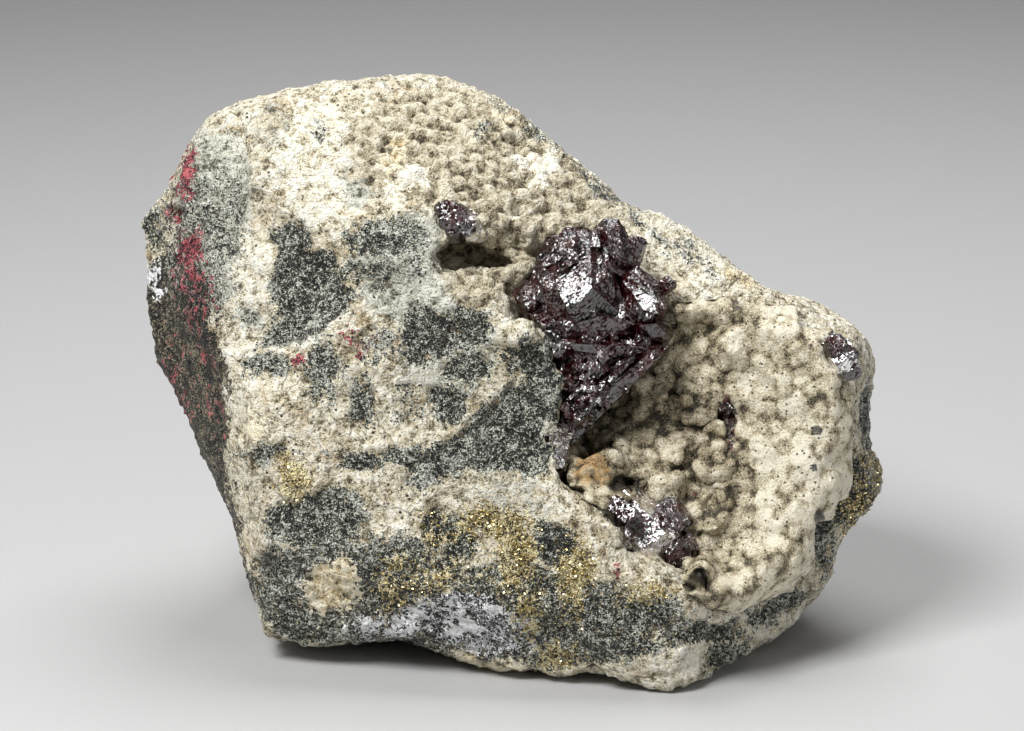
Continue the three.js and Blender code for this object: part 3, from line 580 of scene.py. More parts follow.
def proustiteMaterial():
    # Proustite, ruby silver: almost black crystals with faces that mirror the room, deep red where
    # light gets through an edge. Etched places and fine growth lines break the mirror into glints.
    look = {
        "tint": ((0.35, "#44090f"), (0.5, "#84121a"), (0.68, "#d42a32")),
        "index": 2.25,
        "clear": 0.94,  # share of the light that goes in
        "absorbs": "#ea1418",
        "density": 8000,
        "cloud": 1.8,  # size of the smoother and the rougher places
        "rough": (0.05, 0.22),
        "cells": ((0.7, 0.45), (0.24, 0.8)),  # size and tilt of the growth steps and of the etching
        "line": 0.2,  # width of the growth lines
        "lineTurn": -0.9,
        "lineStretch": 6,
        "lineHeight": 0.1,
        "smoothFace": 0.3,  # share of the tilts that the smooth faces keep
    }
    material, tree = newMaterial("proustite_crystal")
    spot = inMillimetres(tree)
    cloud = addNode(tree, "TexNoise", {"Vector": spot, "Scale": 1 / look["cloud"], "Detail": 4})
    cloud = cloud.outputs["Fac"]
    lines = addNode(tree, "Mapping", {
        "Vector": spot, "Rotation": (0, look["lineTurn"], 0), "Scale": (look["lineStretch"], 1, 1),
    }, vector_type="TEXTURE").outputs[0]
    lines = addNode(tree, "TexNoise", {"Vector": lines, "Scale": 1 / look["line"], "Detail": 2})
    lines = lines.outputs["Fac"]
    flat = addNode(tree, "Attribute", attribute_name="mirror").outputs["Fac"]
    uneven = addNode(tree, "MapRange", {"Value": flat, 3: 1, 4: look["smoothFace"]}).outputs[0]
    rugged = addNode(tree, "MapRange", {"Value": cloud, 1: 0.4, 2: 0.6, 3: 0.45, 4: 1.2}).outputs[0]
    uneven = addNode(tree, "Math", {0: uneven, 1: rugged}, operation="MULTIPLY").outputs[0]
    normal = addNode(tree, "NewGeometry").outputs["Normal"]
    for size, amount in look["cells"]:
        tilt = addNode(tree, "TexVoronoi", {"Vector": spot, "Scale": 1 / size}).outputs["Color"]
        tilt = addNode(tree, "VectorMath", {0: tilt, 1: (0.5,) * 3}, operation="SUBTRACT").outputs[0]
        tilt = addNode(tree, "VectorMath", {0: tilt, "Scale": amount}, operation="SCALE").outputs[0]
        tilt = addNode(tree, "VectorMath", {0: tilt, "Scale": uneven}, operation="SCALE").outputs[0]
        normal = addNode(tree, "VectorMath", {0: normal, 1: tilt}, operation="ADD").outputs[0]
    normal = addNode(tree, "VectorMath", {0: normal}, operation="NORMALIZE").outputs[0]
    bump = addNode(tree, "Bump", {
        "Strength": 1, "Distance": look["lineHeight"] * mm, "Height": lines, "Normal": normal,
    })
    low, high = look["rough"]
    rough = addNode(tree, "MapRange", {"Value": cloud, 1: 0.35, 2: 0.65, 3: low, 4: high}).outputs[0]
    tint = addNode(tree, "ValToRGB", {"Fac": cloud}, stops=look["tint"])
    shader = addNode(tree, "BsdfPrincipled", {
        "Base Color": tint.outputs["Color"], "Roughness": rough, "IOR": look["index"],
        "Transmission Weight": look["clear"], "Normal": bump.outputs[0],
    })
    inside = addNode(tree, "VolumeAbsorption", {
        "Color": linear(look["absorbs"]), "Density": look["density"],
    })
    addNode(tree, "OutputMaterial", {"Surface": shader.outputs[0], "Volume": inside.outputs[0]})
    return material


def pyriteMaterial():
    # Pyrite: a brassy metal in grains too small to see singly, each with a mirror face of its own.
    look = {
        "tone": 0.5,  # size of the paler and the darker places
        "colours": ((0.35, "#ab965e"), (0.65, "#eee0b2")),
        "rough": 0.28,
    }
    material, tree = newMaterial("pyrite_grains")
    spot = inMillimetres(tree)
    tone = addNode(tree, "TexNoise", {"Vector": spot, "Scale": 1 / look["tone"], "Detail": 2})
    ramp = addNode(tree, "ValToRGB", {"Fac": tone.outputs["Fac"]}, stops=look["colours"])
    shader = addNode(tree, "BsdfPrincipled", {
        "Base Color": ramp.outputs["Color"], "Metallic": 1, "Roughness": look["rough"],
    })
    addNode(tree, "OutputMaterial", {"Surface": shader.outputs[0]})
    return material


rockLook = rockMaterial()
crustLook = crustMaterial()
proustiteLook = proustiteMaterial()
pyriteLook = pyriteMaterial()
print("materials made")


# The rock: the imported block, broken up finer
rock = {
    "voxel": 0.55,
    "smoothing": 2,
    "heave": (6.5, 0.45),  # size and height of the slow swells
    "slabs": (4.2, 0.4),  # of the broken faces
    "chips": (1.7, 0.32),
    "crumbs": (0.8, 0.2),
    "knobs": (1.3, 0.75),  # spacing and height of the rounded knobs
    "wander": (3.0, 1.1),  # size and reach of the bends in the minerals' outlines
    "sunk": 0.3,  # how far the sulphide stands back
    "limits": (-1.6, 0.9),  # how far the relief may go in and out
    "foot": 0.25,  # lower than this the rock is the face that it rests on
    "broad": (9, 3),  # size and detail of the bands on the sides that aren't seen
    "narrow": (7, 2),
    "triangles": 192000,  # the flattest places are thinned to this
    "pits": [(0.8, 48.1, 0.8, 1.6), (25.4, 22.7, 0.6, 0.9),
             (-33.4, 47.4, 0.9, 0.8)],  # u, v, radius, depth
    "grooves": [  # width, depth, then the line that it follows
        (0.5, 0.7, (-27.4, 58), (-26.9, 54), (-26.7, 49.2), (-27.6, 44)),
        (0.35, 0.5, (-24, 27.6), (-22.4, 25.2), (-22.8, 21.5)),
        (0.3, 0.45, (-28.2, 34.4), (-24, 35), (-19, 35.9), (-16.4, 36.4)),
        (0.35, 0.5, (-10.8, 20.4), (-8.4, 23.4), (-2.4, 26.8), (0.8, 31)),
        (0.3, 0.4, (3.4, 56.2), (8, 52), (13, 47.4)),
    ],
}


def lineDistance(u, v, points):
    nearest = np.full(len(u), 1e9)
    for start, end in zip(points, points[1:]):
        nearest = np.minimum(nearest, gapTo(u, v, start, end))
    return nearest


def makeRock():
    def seen(face):
        return face.normal.dot(Vector(toward)) > -0.1

    mesh = modified(nodeCopy("matrix"), "REMESH", mode="VOXEL", voxel_size=rock["voxel"] * mm)
    mesh = refined(mesh, rock["smoothing"], seen)
    points, normals = readPoints(mesh)
    u, v, _ = toFacing(points)
    front = ease(normals @ toward, -0.25, 0.05)
    hidden = 1 - front
    size, reach = rock["wander"]
    wanderU = u + reach * fractal(points + 17, size)
    wanderV = v + reach * fractal(points - 23, size)
    strength = {name: strengthOf(name, wanderU, wanderV) * front for name in minerals}
    broad = fractal(points + 40, *rock["broad"])
    narrow = fractal(points, *rock["narrow"])
    bands = {  # the back isn't seen: the same minerals go on through it
        "sulphide": (broad, -0.1, 0.35, 0.9),
        "grey": (-broad, 0.05, 0.5, 0.7),
        "white": (narrow, 0.1, 0.5, 0.7),
        "gold": (broad, 0.35, 0.7, 0.6),
    }
    for name, (band, low, high, share) in bands.items():
        strength[name] = np.maximum(strength[name], hidden * ease(band, low, high) * share)
    heave = fractal(points, rock["heave"][0], 3)
    slabs = brokenFaces(points, rock["slabs"][0])
    chips = brokenFaces(points, rock["chips"][0], 11.3)
    crumbs = fractal(points, rock["crumbs"][0], 3)
    smooth = strength["knobby"]
    relief = heave * rock["heave"][1] + slabs * rock["slabs"][1] * (1 - 0.6 * smooth)
    relief += chips * rock["chips"][1] * (1 - 0.7 * smooth)
    relief += crumbs * rock["crumbs"][1] * (1 + 0.8 * strength["sulphide"])
    knobby = smooth > 0.05
    seeds = seedsOn(points[knobby], rock["knobs"][0])
    radii = rng.uniform(0.55, 0.85, len(seeds)) * rock["knobs"][0]
    knobs = np.zeros(len(points))
    knobs[knobby] = domes(points[knobby], seeds, radii)
    relief += (knobs - 0.4) * rock["knobs"][1] * smooth
    relief -= rock["sunk"] * ease(strength["sulphide"], 0.3, 0.7)
    for width, depth, *line in rock["grooves"]:
        relief -= depth * front * np.exp(-((lineDistance(u, v, line) / width) ** 2))
    for at, up, radius, depth in rock["pits"]:
        relief -= depth * front * np.exp(-((np.hypot(u - at, v - up) / radius) ** 4))
    relief = np.clip(relief, *rock["limits"])
    low = points[:, 2] < rock["foot"]  # the face that it rests on stays flat
    relief[low] = np.minimum(relief[low], 0) * 0.3
    writePoints(mesh, points + normals * relief[:, None])
    for name, values in strength.items():
        writeAttribute(mesh, name, values)
    # Painted light and shade: raised places of the break are painted paler and sunk ones darker, through the
    # relief attribute.
    tone = 0.22 * chips + 0.16 * slabs + 0.3 * crumbs + 0.35 * (knobs - 0.45) * smooth
    writeAttribute(mesh, "relief", np.clip(tone, -0.4, 0.4))
    mesh.calc_loop_triangles()
    mesh = modified(mesh, "DECIMATE", ratio=rock["triangles"] / len(mesh.loop_triangles))
    points, _ = readPoints(mesh)
    points[:, 2] = np.maximum(points[:, 2], 0)
    writePoints(mesh, points)
    mesh.shade_smooth()
    piece = addPiece("rock", mesh, rockLook)
    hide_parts("matrix")
    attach(piece, "root")
    return piece


rockPiece = makeRock()
print("rock made:", len(rockPiece.data.vertices), "points")


# The crust: rounded knobs over the lining of the hollow
crust = {
    "voxel": 0.36,
    "smoothing": 3,
    "lumps": (4.6, 0.75, 0.42),  # spacing, radius over spacing, height over radius
    "knobs": (1.25, 0.8, 0.72),
    "beads": (0.55, 0.8, 0.22),
    "ochre": [(8.2, 22.0, 2.2, 2.4), (15, 10.6, 1.6, 1.2)],  # u, v, half width, half height
    "red": [(21.6, 28.2, 0.7, 1.8), (22, 25.2, 0.6, 1.6), (18.5, 19.6, 0.3, 0.3),
            (32.4, 35.2, 0.5, 0.9)],
    # Painted shade: these cavities are painted near black as well as sunk.
    "cavityShade": [(11.2, 20.4, 1.4, 1.1), (19, 11, 0.9, 1.3), (18, 10.2, 1.1, 0.7), (6.6, 19.6, 1.2, 0.7)],
    "pits": [(24.6, 22.7, 0.5, 0.7), (20.2, 18.8, 0.9, 1),
             (21.6, 17.2, 0.6, 0.6)],  # u, v, radius, depth
    "pressed": (18.4, 37.6, 3.4, 1.5),  # where the lining stands too far out: u, v, radius, depth
    "black": [(26, 7.5, 1.7, 1.0), (27.5, 8.3, 1.8, 1.1), (29, 9.3, 1.3, 0.9), (19.4, 4.9, 1.5, 0.6),
              (21, 5.4, 1.5, 0.7), (30.9, 17, 0.6, 1.7), (31.2, 14.4, 0.6, 1.7), (30.5, 26, 0.7, 0.7),
              (30.4, 22.2, 0.5, 0.5), (35.4, 29, 0.5, 3)],
    "ridges": [  # width, height, then the line that it follows
        (0.3, 0.9, (21.7, 20.3), (21.9, 18.5), (21.4, 16.8), (20.2, 15.9), (19, 16.2)),
        (0.5, 0.6, (15.2, 29.2), (18.8, 29.5), (21.2, 28.8), (21.6, 25.2), (22.9, 21), (23.8, 20.4)),
        (0.5, 0.5, (20.3, 30), (23.2, 29.2)),
        (0.6, 0.6, (18.4, 33.4), (22, 33.8), (25, 32.4), (27.4, 29.8)),
        (0.6, 0.6, (13, 24), (16, 22.4), (19.4, 21.6)),
    ],
    "sunk": 1.8,  # depth of the cavities, which are also painted near black as shade
    "domeShades": {"lumps": 0.15, "knobs": 0.5, "beads": 0.2},  # how much paler each size is painted at its top and darker between: painted light and shade
    "stain": 0.62,  # strength of the coloured spots and of the painted cavity shade
    "grain": (1.4, 0.25),  # size and height of the finest unevenness
}


def blobWeight(spots, u, v):
    found = np.zeros(len(u))
    for at, up, wide, high in spots:
        found = np.maximum(found, ease(1 - np.hypot((u - at) / wide, (v - up) / high), -0.15, 0.35))
    return found


def makeCrust():
    def seen(face):
        return face.normal.dot(Vector(toward)) > 0.15

    mesh = modified(nodeCopy("carbonate_crust"), "REMESH", mode="VOXEL", voxel_size=crust["voxel"] * mm)
    mesh = refined(mesh, crust["smoothing"], seen)
    points, normals = readPoints(mesh)
    u, v, _ = toFacing(points)
    at, up, radius, depth = crust["pressed"]
    hump = np.exp(-(np.hypot(u - at, v - up) / radius) ** 4)
    pressed = depth * hump * ease(normals @ toward, -0.2, 0.2)
    writePoints(mesh, points - pressed[:, None] * toward)
    tone = 0
    for key, near in (("lumps", 5), ("knobs", 7), ("beads", 7)):
        points, normals = readPoints(mesh)
        shown = normals @ toward > -0.1
        spacing, width, height = crust[key]
        seeds = seedsOn(points[shown], spacing)
        radii = rng.uniform(0.6, 1.3, len(seeds)) * width * spacing
        raised = np.zeros(len(points))
        raised[shown] = domes(points[shown], seeds, radii, near)
        share = raised / (width * spacing)
        if key == "knobs":
            raised -= 0.28 * spacing
        u, v, _ = toFacing(points)
        uneven = np.clip(0.8 + 1.2 * fractal(points, 5, 2), 0.35, 1.2)  # they stand out in some places only
        uneven *= 1 - 0.72 * ease(u, 21, 25)  # and less on the right side
        uneven *= 0.35 + 0.65 * ease(v + 0.6 * u, 24, 30)  # lower along the lining's lower edge
        uneven *= 1 - 0.8 * np.exp(-(np.hypot(u - at, v - up) / radius) ** 4)
        turned = ease(normals @ toward, -0.1, 0.25)
        writePoints(mesh, points + normals * (raised * height * uneven * turned)[:, None])
        # Painted light and shade on the knobs: paler at their tops, darker between.
        tone = tone + (share - 0.6) * crust["domeShades"][key]
    points, _ = readPoints(mesh)
    u, v, _ = toFacing(points)
    bend = 0.35 * fractal(points, 1.6, 3)
    raised = -crust["sunk"] * blobWeight(crust["cavityShade"], u + bend, v - bend)
    for at, up, radius, depth in crust["pits"]:
        raised -= depth * np.exp(-((np.hypot(u - at, v - up) / radius) ** 2))
    for width, height, *line in crust["ridges"]:
        raised += height * np.exp(-((lineDistance(u + bend, v + bend, line) / width) ** 2))
    size, height = crust["grain"]
    writePoints(mesh, points + (raised + height * brokenFaces(points, size))[:, None] * toward)
    # The relief attribute carries the painted light and shade of the knobs.
    writeAttribute(mesh, "relief", np.clip(tone, -0.4, 0.4) + 0.4)
    # Painted shade: the left of the lining is painted darker, as in the shade of the hollow, and paler
    # towards the right.
    writeAttribute(mesh, "hollowShadeFade", ease(u, 17, 29))
    # The cavity stain is painted shade.
    for name in ("ochre", "red", "cavityShade", "black"):
        writeAttribute(mesh, name, blobWeight(crust[name], u + bend, v - bend) * crust["stain"])
    mesh.shade_smooth()
    piece = addPiece("crust", mesh, crustLook)
    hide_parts("carbonate_crust")
    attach(piece, "root")
    return piece


crustPiece = makeCrust()
print("crust made:", len(crustPiece.data.vertices), "points")


# The proustite: crystals grown into groups, each with smaller ones that stand parallel on its faces
proustite = {
    "parallel": 14,  # smaller crystals on each block and each prism
    "few": 6,  # and on each long thin one
    "small": (0.1, 0.3),  # their size beside the crystal they stand on
    "longest": 0.8,  # edges longer than this are cut in three
    "gleam": (0.26, -0.26),  # slope of a face that sends the lamp's light to the lens
    "mirror": [(6.5, 40.2, 1.8, 1.9), (13.8, 38.6, 1.3, 1.1), (8.7, 45, 0.6, 0.9),
               (11.9, 17.2, 1.5, 1.4)],  # faces left smooth
    "large": [  # outline of the front face, its slope and level, outline and level of the widest part
        ([(4.8, 39.8), (6.9, 42), (8.1, 41.6), (8.2, 40.2), (7.1, 38.9), (5.7, 38.3)], "gleam", 12.6,
         [(1.4, 39.1), (2.3, 42), (3.8, 45), (6.4, 46.1), (8.1, 46), (9, 45), (10.1, 42.2),
          (10.8, 39.6),
          (11.6, 37.1), (9.4, 35.7), (6, 35.2), (4.5, 36.3)], 9.4),
        ([(3.2, 42), (4.6, 44), (6.2, 44.6), (6.8, 43), (5, 41.4)], (0.5, -0.3), 11.4,
         [(2.2, 41.4), (2.8, 43.6), (4.2, 45.4), (6.6, 46), (7.6, 44), (6.8, 41.6), (4.4, 40.4)], 9.6),
        ([(8.1, 44.3), (8.3, 45.7), (8.7, 45.5), (9.1, 44.3)], "gleam", 11.2,
         [(7.8, 44), (7.9, 46), (8.9, 46), (9.5, 44)], 9.8),
        ([(8.8, 40.2), (9.2, 42.6), (10, 41.8), (10.6, 39.4), (9.8, 38.4)], (-0.6, 0.1), 11,
         [(8.2, 39), (8.6, 43.4), (10.2, 42.8), (11.2, 39.4), (10.2, 37)], 9.5),
        ([(9.6, 45.8), (10.4, 46.3), (11.2, 44.6), (11, 42.8), (9.8, 43.6)], (-0.25, -0.25), 10,
         [(8.3, 46.1), (9.4, 47.1), (10.8, 47.1), (11.7, 45.7), (12.4, 43.9), (12.9, 42.6),
          (10.5, 41.4), (9, 43)], 8.4),
        ([(12.4, 39.4), (13.2, 39.8), (14.9, 38.7), (14.8, 37.6), (13.4, 37.9)], "gleam", 11,
         [(10.6, 41.6), (12.7, 42.4), (13.4, 41.3), (14.7, 40.9), (16, 39.1), (15.6, 37.2), (14, 36),
          (11, 36.6)], 8.6),
        ([(13, 36.4), (14.6, 36.6), (15.6, 35.6), (14.4, 35)], (-0.3, 0.4), 10.4,
         [(11.6, 36.8), (14.6, 37.6), (16.5, 35.8), (15.8, 34.4), (12.2, 34.4)], 8.4),
        ([(6.6, 36.6), (9.4, 37.4), (11.6, 36.2), (9.6, 35.2), (7, 35.4)], (0.1, 0.5), 11.2,
         [(4.8, 36.6), (8, 38.4), (12.4, 37), (12, 34.6), (6.2, 34.2)], 8.8),
        ([(6, 34.6), (9, 34.4), (14.4, 34.2), (14, 33.7), (9.4, 33.5), (6.4, 33.9)], (0, 0.5), 11.4,
         [(5.2, 34.6), (9, 35), (15.4, 34.5), (15.2, 33.4), (9, 32.9), (5.8, 33.4)], 9.8),
        ([(5.6, 33.6), (13.4, 33.6), (6.2, 26.6), (5.2, 28)], (0, 0), 9.4,
         [(4.4, 34.6), (15, 34), (6.4, 25.2), (4.2, 27)], 7.8),
        ([(14.4, 34), (15.2, 33.5), (7.2, 25.9), (6.4, 26.2)], (0.5, 0.1), 10.8,
         [(13, 34.4), (15.8, 33.7), (6.4, 24.7), (4.8, 26.2)], 8.2),
        ([(1.2, 39.8), (2.4, 40), (2.6, 38.6), (1.6, 38)], "gleam", 10.4,
         [(0.2, 39.6), (1.6, 41), (3.2, 39.4), (3.4, 37.2), (1.6, 36.8)], 8.6),
        ([(2.6, 37.4), (4.4, 37), (5.2, 35.6), (3.6, 35.8)], (-0.1, -0.5), 10.8,
         [(1.4, 37.8), (4, 38.2), (6, 35.8), (5.4, 34), (3, 35.2)], 9),
    ],
    "crumbs": 130,  # small crystals turned every way, and the outline that they lie in
    "crumbsIn": ((4.4, 35.2), (15, 34.8), (15.4, 33.6), (6.4, 25), (4.4, 26.5)),
    "ribs": 9,  # long thin crystals side by side in the lower body
    "ribFeet": ((4.6, 30.5), (6.2, 25.6)),
    "ribTips": ((8.2, 34.4), (15, 34)),
    "proustite_main": [  # u, v, w, axis, radius, length, foot, twist, tip
        (4.9, 24.2, 8.6, (-0.2, -0.9, 0.4), 1.3, 3, 4, 0, 0.55),
        (4.5, 25.8, 9.6, (-0.3, -0.6, 0.7), 1.2, 2, 4, 0.4, 0.55),
        (12.6, 44.2, 8, (0.3, 0.9, 0.4), 1, 1.2, 3, 0.5, 0.55),
        (15.6, 40.4, 8, (0.7, 0.5, 0.5), 0.8, 1, 3, 0.2, 0.5),
    ],
    "proustite_lower": [  # with no w: on the crust
        (13.6, 15.6, None, (0.62, -0.66, 0.5), 2.7, 3.4, 4, 0.3, 0.4),
        (11.1, 18.1, None, (-0.26, 0.26, 1), 0.95, 2, 5, 0.2, 0.03),
        (12.1, 17.2, None, (-0.26, 0.26, 1), 1.0, 2.4, 5, 0.2, 0.03),
        (12.9, 16.1, None, (-0.26, 0.26, 1), 0.8, 2.1, 5, 0.2, 0.03),
        (14.6, 15.9, None, (0.1, 0.3, 1), 1.1, 2.6, 5, 0.6, 0.5),
        (14.9, 14.3, None, (0.3, -0.2, 1), 1.2, 2.4, 5, 0.2, 0.5),
        (12.2, 15.6, None, (-0.3, -0.3, 0.9), 1.6, 2.2, 4, 0.7, 0.55),
        (15.8, 17, None, (0.4, 0.45, 0.8), 1.9, 2.2, 4, 0.1, 0.55),
        (16.6, 14.2, None, (0.5, -0.5, 0.7), 2, 2.4, 4, 0.5, 0.55),
        (17, 12.8, None, (0.2, -0.9, 0.6), 1.1, 1.2, 3, 0, 0.55),
    ],
    "proustite_upper": [
        (-5.4, 46.8, None, (-0.2, 0.1, 1), 1.7, 1.8, 3, 0.2, 0.55),
        (-4.2, 46.2, None, (0.5, -0.3, 0.8), 1.3, 1.6, 3, 0.5, 0.55),
        (-6.4, 47.8, None, (-0.5, 0.5, 0.7), 1, 1.2, 3, 0, 0.55),
    ],
    "proustite_right": [
        (33.2, 33, None, (0.45, -0.8, 0.6), 1.3, 1.6, 2.4, 0.3, 0.55),
        (32.6, 34.2, None, (-0.5, 0.3, 0.8), 1.2, 1, 3, 0, 0.55),
        (34.1, 31.9, None, (0.3, -0.6, 0.7), 1, 1, 3, 0.6, 0.55),
    ],
    "proustite_seam": [
        (21.4, 28.7, None, (0.1, 0.6, 0.8), 0.55, 0.7, 3, 0, 0.55),
        (21.8, 27.9, None, (-0.3, 0.2, 0.8), 0.6, 0.8, 3, 0.7, 0.55),
        (21.7, 28.2, None, (0.1, 0.6, 0.8), 1.05, 0.9, 3, 0, 0.55),
        (21.9, 26.6, None, (0.2, -0.5, 0.8), 1, 0.8, 3, 0.5, 0.55),
        (22, 25, None, (0, -0.6, 0.8), 0.75, 0.4, 3, 0.2, 0.55),
        (22, 26.2, None, (0.2, -0.5, 0.8), 0.5, 0.8, 3, 0.5, 0.55),
        (21.8, 25.4, None, (-0.4, -0.2, 0.8), 0.4, 0.6, 3, 0.9, 0.55),
        (22.1, 24.6, None, (0, -0.6, 0.8), 0.45, 0.6, 3, 0.2, 0.55),
    ],
}


def treeOf(node):
    mesh = nodeCopy(node)
    return BVHTree.FromPolygons(
        [v.co.copy() for v in mesh.vertices], [tuple(p.vertices) for p in mesh.polygons]
    )


grounds = [treeOf("matrix"), treeOf("carbonate_crust")]


def groundAt(u, v, group):  # how far towards the lens the rock or crust stands beside a group
    lens = toPlace(u, v, 60) * mm
    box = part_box(group)
    middle = (np.array(box[0]) + np.array(box[1])) / 2 / mm
    found = [toFacing(middle[None])[2][0]]
    for tree in grounds:
        hit = tree.ray_cast(Vector(lens), Vector(-toward))[0]
        if hit is not None:
            found.append(toFacing(np.array(hit)[None] / mm)[2][0])
    return max(found)


def facingTurn(axis):  # turns +Z onto an axis that is given in u, v and w
    along = Vector(axis[0] * across + axis[1] * upward + axis[2] * toward).normalized()
    return along.to_track_quat("Z", "Y").to_matrix().to_4x4()


def keep(bm, group):
    mesh = bpy.data.meshes.new("crystal")
    bm.to_mesh(mesh)
    bm.free()
    group.objects.link(bpy.data.objects.new("crystal", mesh))


def prism(place, turn, radius, length, foot, twist, tip):  # six sides, and three faces at the tip
    bm = bmesh.new()
    bmesh.ops.create_cone(
        bm, cap_ends=True, segments=6, radius1=radius * mm, radius2=radius * mm,
        depth=(length + foot) * mm, matrix=Matrix.Translation((0, 0, (length - foot) / 2 * mm)),
    )
    bmesh.ops.rotate(bm, verts=bm.verts, matrix=Matrix.Rotation(twist, 3, "Z"))
    for k in range(3):
        angle = twist + math.radians(120 * k)
        slope = Vector((math.cos(angle) * tip, math.sin(angle) * tip, 1)).normalized()
        cut = bmesh.ops.bisect_plane(
            bm, geom=bm.verts[:] + bm.edges[:] + bm.faces[:], dist=1e-7,
            plane_co=(0, 0, length * mm), plane_no=slope, clear_outer=True,
        )
        rim = [e for e in cut["geom_cut"] if isinstance(e, bmesh.types.BMEdge)]
        bmesh.ops.holes_fill(bm, edges=rim)
    bm.transform(Matrix.Translation(Vector(place * mm)) @ turn)
    bmesh.ops.recalc_face_normals(bm, faces=bm.faces)
    return bm


def block(front, slope, level, widest, at):  # the tightest faces round the two outlines and a root
    slope = proustite["gleam"] if slope == "gleam" else slope
    middle = np.mean(front, axis=0)
    centre = np.mean(widest, axis=0)
    corners = [(u, v, level + slope[0] * (u - middle[0]) + slope[1] * (v - middle[1])) for u, v in front]
    corners += [(u, v, at) for u, v in widest]
    corners += [(*(centre + 0.7 * (np.array(p) - centre)), at - 5) for p in widest]
    bm = bmesh.new()
    for corner in corners:
        bm.verts.new(toPlace(*corner) * mm)
    made = bmesh.ops.convex_hull(bm, input=bm.verts)
    loose = {e for e in made["geom_interior"] + made["geom_unused"] if isinstance(e, bmesh.types.BMVert)}
    bmesh.ops.delete(bm, geom=list(loose), context="VERTS")
    bmesh.ops.dissolve_limit(bm, angle_limit=0.01, verts=bm.verts, edges=bm.edges)
    bmesh.ops.recalc_face_normals(bm, faces=bm.faces)
    return bm


def rib(share):  # one long crystal of the lower body, at its share of the way across
    lines = proustite["ribFeet"], proustite["ribTips"]
    foot, tip = (np.array(a) + share * (np.array(b) - a) for a, b in lines)
    foot, tip = foot + rng.normal(0, 0.35, 2), tip + rng.normal(0, 0.35, 2)
    along = (tip - foot) / np.linalg.norm(tip - foot)
    side = np.array((along[1], -along[0]))
    wide = rng.uniform(0.4, 0.8)
    ridge = [foot + along * 0.7 - side * wide * 0.3, tip - along * 0.7 - side * wide * 0.3,
             tip - along * 0.9 + side * wide * 0.3, foot + along * 0.9 + side * wide * 0.3]
    edge = [foot - side * wide, tip - side * wide, tip + side * wide, foot + side * wide]
    slope = (rng.uniform(-0.5, 0.6), rng.uniform(-0.4, 0.4))
    return block(ridge, slope, rng.uniform(9.9, 10.9), edge, 8.6)


def crumb():
    outline = np.array(proustite["crumbsIn"])
    shares = rng.dirichlet(np.full(len(outline), 0.7))
    u, v = shares @ outline
    v = 34.4 + rng.normal(0, 0.35) if rng.uniform() < 0.4 else v  # many along the ridge
    axis = (rng.normal(0.3, 0.5), rng.normal(0.3, 0.5), 1)
    radius = rng.uniform(0.25, 0.7)
    return prism(
        toPlace(u, v, rng.uniform(9.8, 10.9)), facingTurn(axis), radius, radius * rng.uniform(0.4, 1.6), 1.6,
        rng.uniform(0, 1), rng.uniform(0.3, 0.6),
    )


def growOn(bm, group, count):  # smaller copies of a crystal, turned alike, half sunk in its faces
    faces = [f for f in bm.faces if f.normal.dot(Vector(toward)) > -0.1]
    shares = np.array([f.calc_area() for f in faces])
    corners = [v.co.copy() for v in bm.verts]
    middle = sum(corners, Vector()) / len(corners)
    reach = sum((c - middle).length for c in corners) / len(corners)
    for k in rng.choice(len(faces), count, p=shares / shares.sum()):
        face = faces[k]
        a, b = rng.choice(len(face.verts), 2, replace=False)
        spot = face.calc_center_median().lerp(face.verts[a].co, rng.uniform(0, 1))
        spot = spot.lerp(face.verts[b].co, rng.uniform(0, 0.6))
        u, v, _ = toFacing(np.array(spot)[None] / mm)
        if blobWeight(proustite["mirror"], u, v)[0] > 0.1:
            continue
        size = rng.uniform(*proustite["small"])
        spot -= face.normal * reach * size * rng.uniform(0.1, 0.6)
        small = bm.copy()
        for vert in small.verts:
            vert.co = spot + (vert.co - middle) * size
        keep(small, group)


def growMain(group):  # only the main group has blocks, long thin crystals and crumbs
    for outlines in proustite["large"]:
        bm = block(*outlines)
        growOn(bm, group, proustite["parallel"])
        keep(bm, group)
    for k in range(proustite["ribs"]):
        bm = rib(k / (proustite["ribs"] - 1))
        growOn(bm, group, proustite["few"])
        keep(bm, group)
    for _ in range(proustite["crumbs"]):
        keep(crumb(), group)


def makeProustite(name):
    group = bpy.data.collections.new(name + "_crystals")
    bpy.context.scene.collection.children.link(group)
    if name == "proustite_main":
        growMain(group)
    for u, v, w, axis, radius, length, foot, twist, tip in proustite[name]:
        w = groundAt(u, v, name) if w is None else w
        bm = prism(toPlace(u, v, w), facingTurn(axis), radius, length, foot, twist, tip)
        growOn(bm, group, proustite["parallel"])
        keep(bm, group)
    first, *others = group.objects[:]
    for other in others:
        union = first.modifiers.new("union", "BOOLEAN")
        union.operation = "UNION"
        union.object = other
        union.solver = "MANIFOLD"
    bpy.context.view_layer.update()
    mesh = bpy.data.meshes.new_from_object(
        first.evaluated_get(bpy.context.evaluated_depsgraph_get())
    )
    for each in [first, *others]:
        bpy.data.objects.remove(each)
    bpy.data.collections.remove(group)
    bm = bmesh.new()  # cut finer, so that the smooth faces can be marked
    bm.from_mesh(mesh)
    bmesh.ops.triangulate(bm, faces=bm.faces)
    long = [e for e in bm.edges if e.calc_length() > proustite["longest"] * mm]
    bmesh.ops.subdivide_edges(bm, edges=long, cuts=2, use_grid_fill=True)
    bm.to_mesh(mesh)
    bm.free()
    u, v, _ = toFacing(readPoints(mesh)[0])
    writeAttribute(mesh, "mirror", blobWeight(proustite["mirror"], u, v))
    mesh.shade_flat()
    piece = addPiece(name + "_crystals", mesh, proustiteLook)
    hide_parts(name)
    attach(piece, "root")
    print(name, "made:", len(mesh.vertices), "points")


for place in ("main", "lower", "upper", "right", "seam"):
    makeProustite("proustite_" + place)


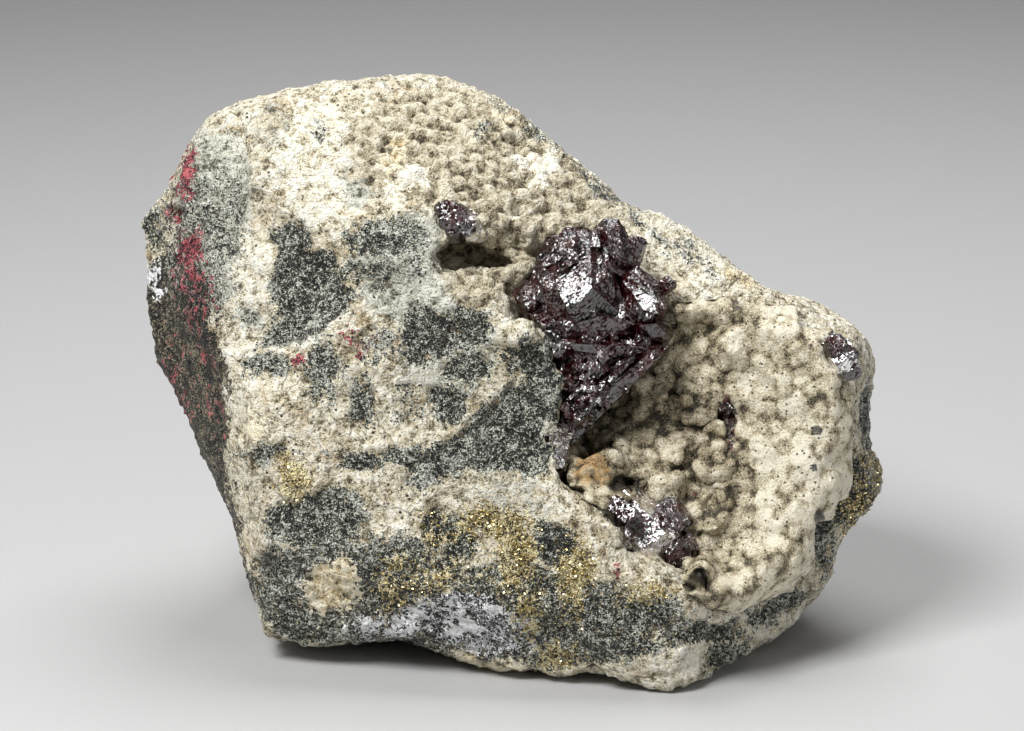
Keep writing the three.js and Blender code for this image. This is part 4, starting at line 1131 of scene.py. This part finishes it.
# Pyrite grains on the rock
pyrite = {
    "count": 3300,
    "size": (0.07, 0.18),
    "spread": 0.1,
    "lift": 0.04,  # height of a grain's middle over the rock
    "lowest": 0.2,  # and over the floor
}


def makePyrite():
    mesh = rockPiece.data
    points, normals = readPoints(mesh)
    gold = np.empty(len(points), np.float32)
    mesh.attributes["gold"].data.foreach_get("value", gold)
    clump = fractal(points, 1.6, 3) * 0.8
    chance = np.clip(gold * (0.35 + clump), 0, 1) + 0.05 * gold
    picked = rng.choice(len(points), pyrite["count"], p=chance / chance.sum())
    bm = bmesh.new()
    for i in picked:
        size = rng.uniform(*pyrite["size"])
        shift = rng.normal(0, pyrite["spread"], 3)
        shift -= normals[i] * (shift @ normals[i])  # it stays on the surface
        turn = Matrix.Rotation(rng.uniform(0, math.pi), 4, Vector(rng.normal(0, 1, 3)).normalized())
        spot = points[i] + shift + normals[i] * pyrite["lift"]
        spot[2] = max(spot[2], pyrite["lowest"])
        place = Matrix.Translation(Vector(spot * mm))
        bmesh.ops.create_cube(bm, size=size * mm, matrix=place @ turn)
    grains = bpy.data.meshes.new("pyrite")
    bm.to_mesh(grains)
    bm.free()
    piece = addPiece("pyrite_grains", grains, pyriteLook)
    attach(piece, "root")


makePyrite()
print("pyrite made")


# Floor, light and camera
studio = {
    "floor": "#b9b9b9",
    "key": ((-0.16, -0.20, 0.34), 0.16, 2.0),  # place, size in metres, watts
    "fill": ((0.34, -0.30, 0.16), 0.2, 0.3),
    "top": ((0.05, 0.12, 0.36), 0.24, 1.1),
    "world": 0.09,
}


def makeStudio():
    bm = bmesh.new()
    bmesh.ops.create_grid(bm, x_segments=1, y_segments=1, size=1.5)
    mesh = bpy.data.meshes.new("floor")
    bm.to_mesh(mesh)
    bm.free()
    material, tree = newMaterial("pale_paper")
    shader = addNode(tree, "BsdfPrincipled", {"Base Color": linear(studio["floor"]), "Roughness": 0.5})
    addNode(tree, "OutputMaterial", {"Surface": shader.outputs[0]})
    floor = addPiece("floor", mesh, material)
    target = Vector(toPlace(*facing["centre"], 0) * mm)
    for name in ("key", "fill", "top"):
        place, size, watts = studio[name]
        light = bpy.data.lights.new(name, "AREA")
        light.size = size
        light.energy = watts
        lamp = bpy.data.objects.new(name, light)
        lamp.location = place
        lamp.rotation_euler = (target - Vector(place)).to_track_quat("-Z", "Y").to_euler()
        bpy.context.scene.collection.objects.link(lamp)
    world = bpy.data.worlds.new("soft_room")
    world.use_nodes = True
    world.node_tree.nodes["Background"].inputs["Color"].default_value = (1, 1, 1, 1)
    world.node_tree.nodes["Background"].inputs["Strength"].default_value = studio["world"]
    bpy.context.scene.world = world
    lens = bpy.data.cameras.new("lens")
    lens.sensor_width = facing["sensor"]
    lens.lens = facing["lens"]
    lens.clip_start = 0.01
    camera = bpy.data.objects.new("camera", lens)
    camera.location = target + Vector(toward) * facing["distance"] * mm
    camera.rotation_euler = (math.pi / 2 - facing["lean"], 0, 0)
    bpy.context.scene.collection.objects.link(camera)
    bpy.context.scene.camera = camera
    bpy.context.scene.view_settings.view_transform = "Standard"


makeStudio()
print("studio made")
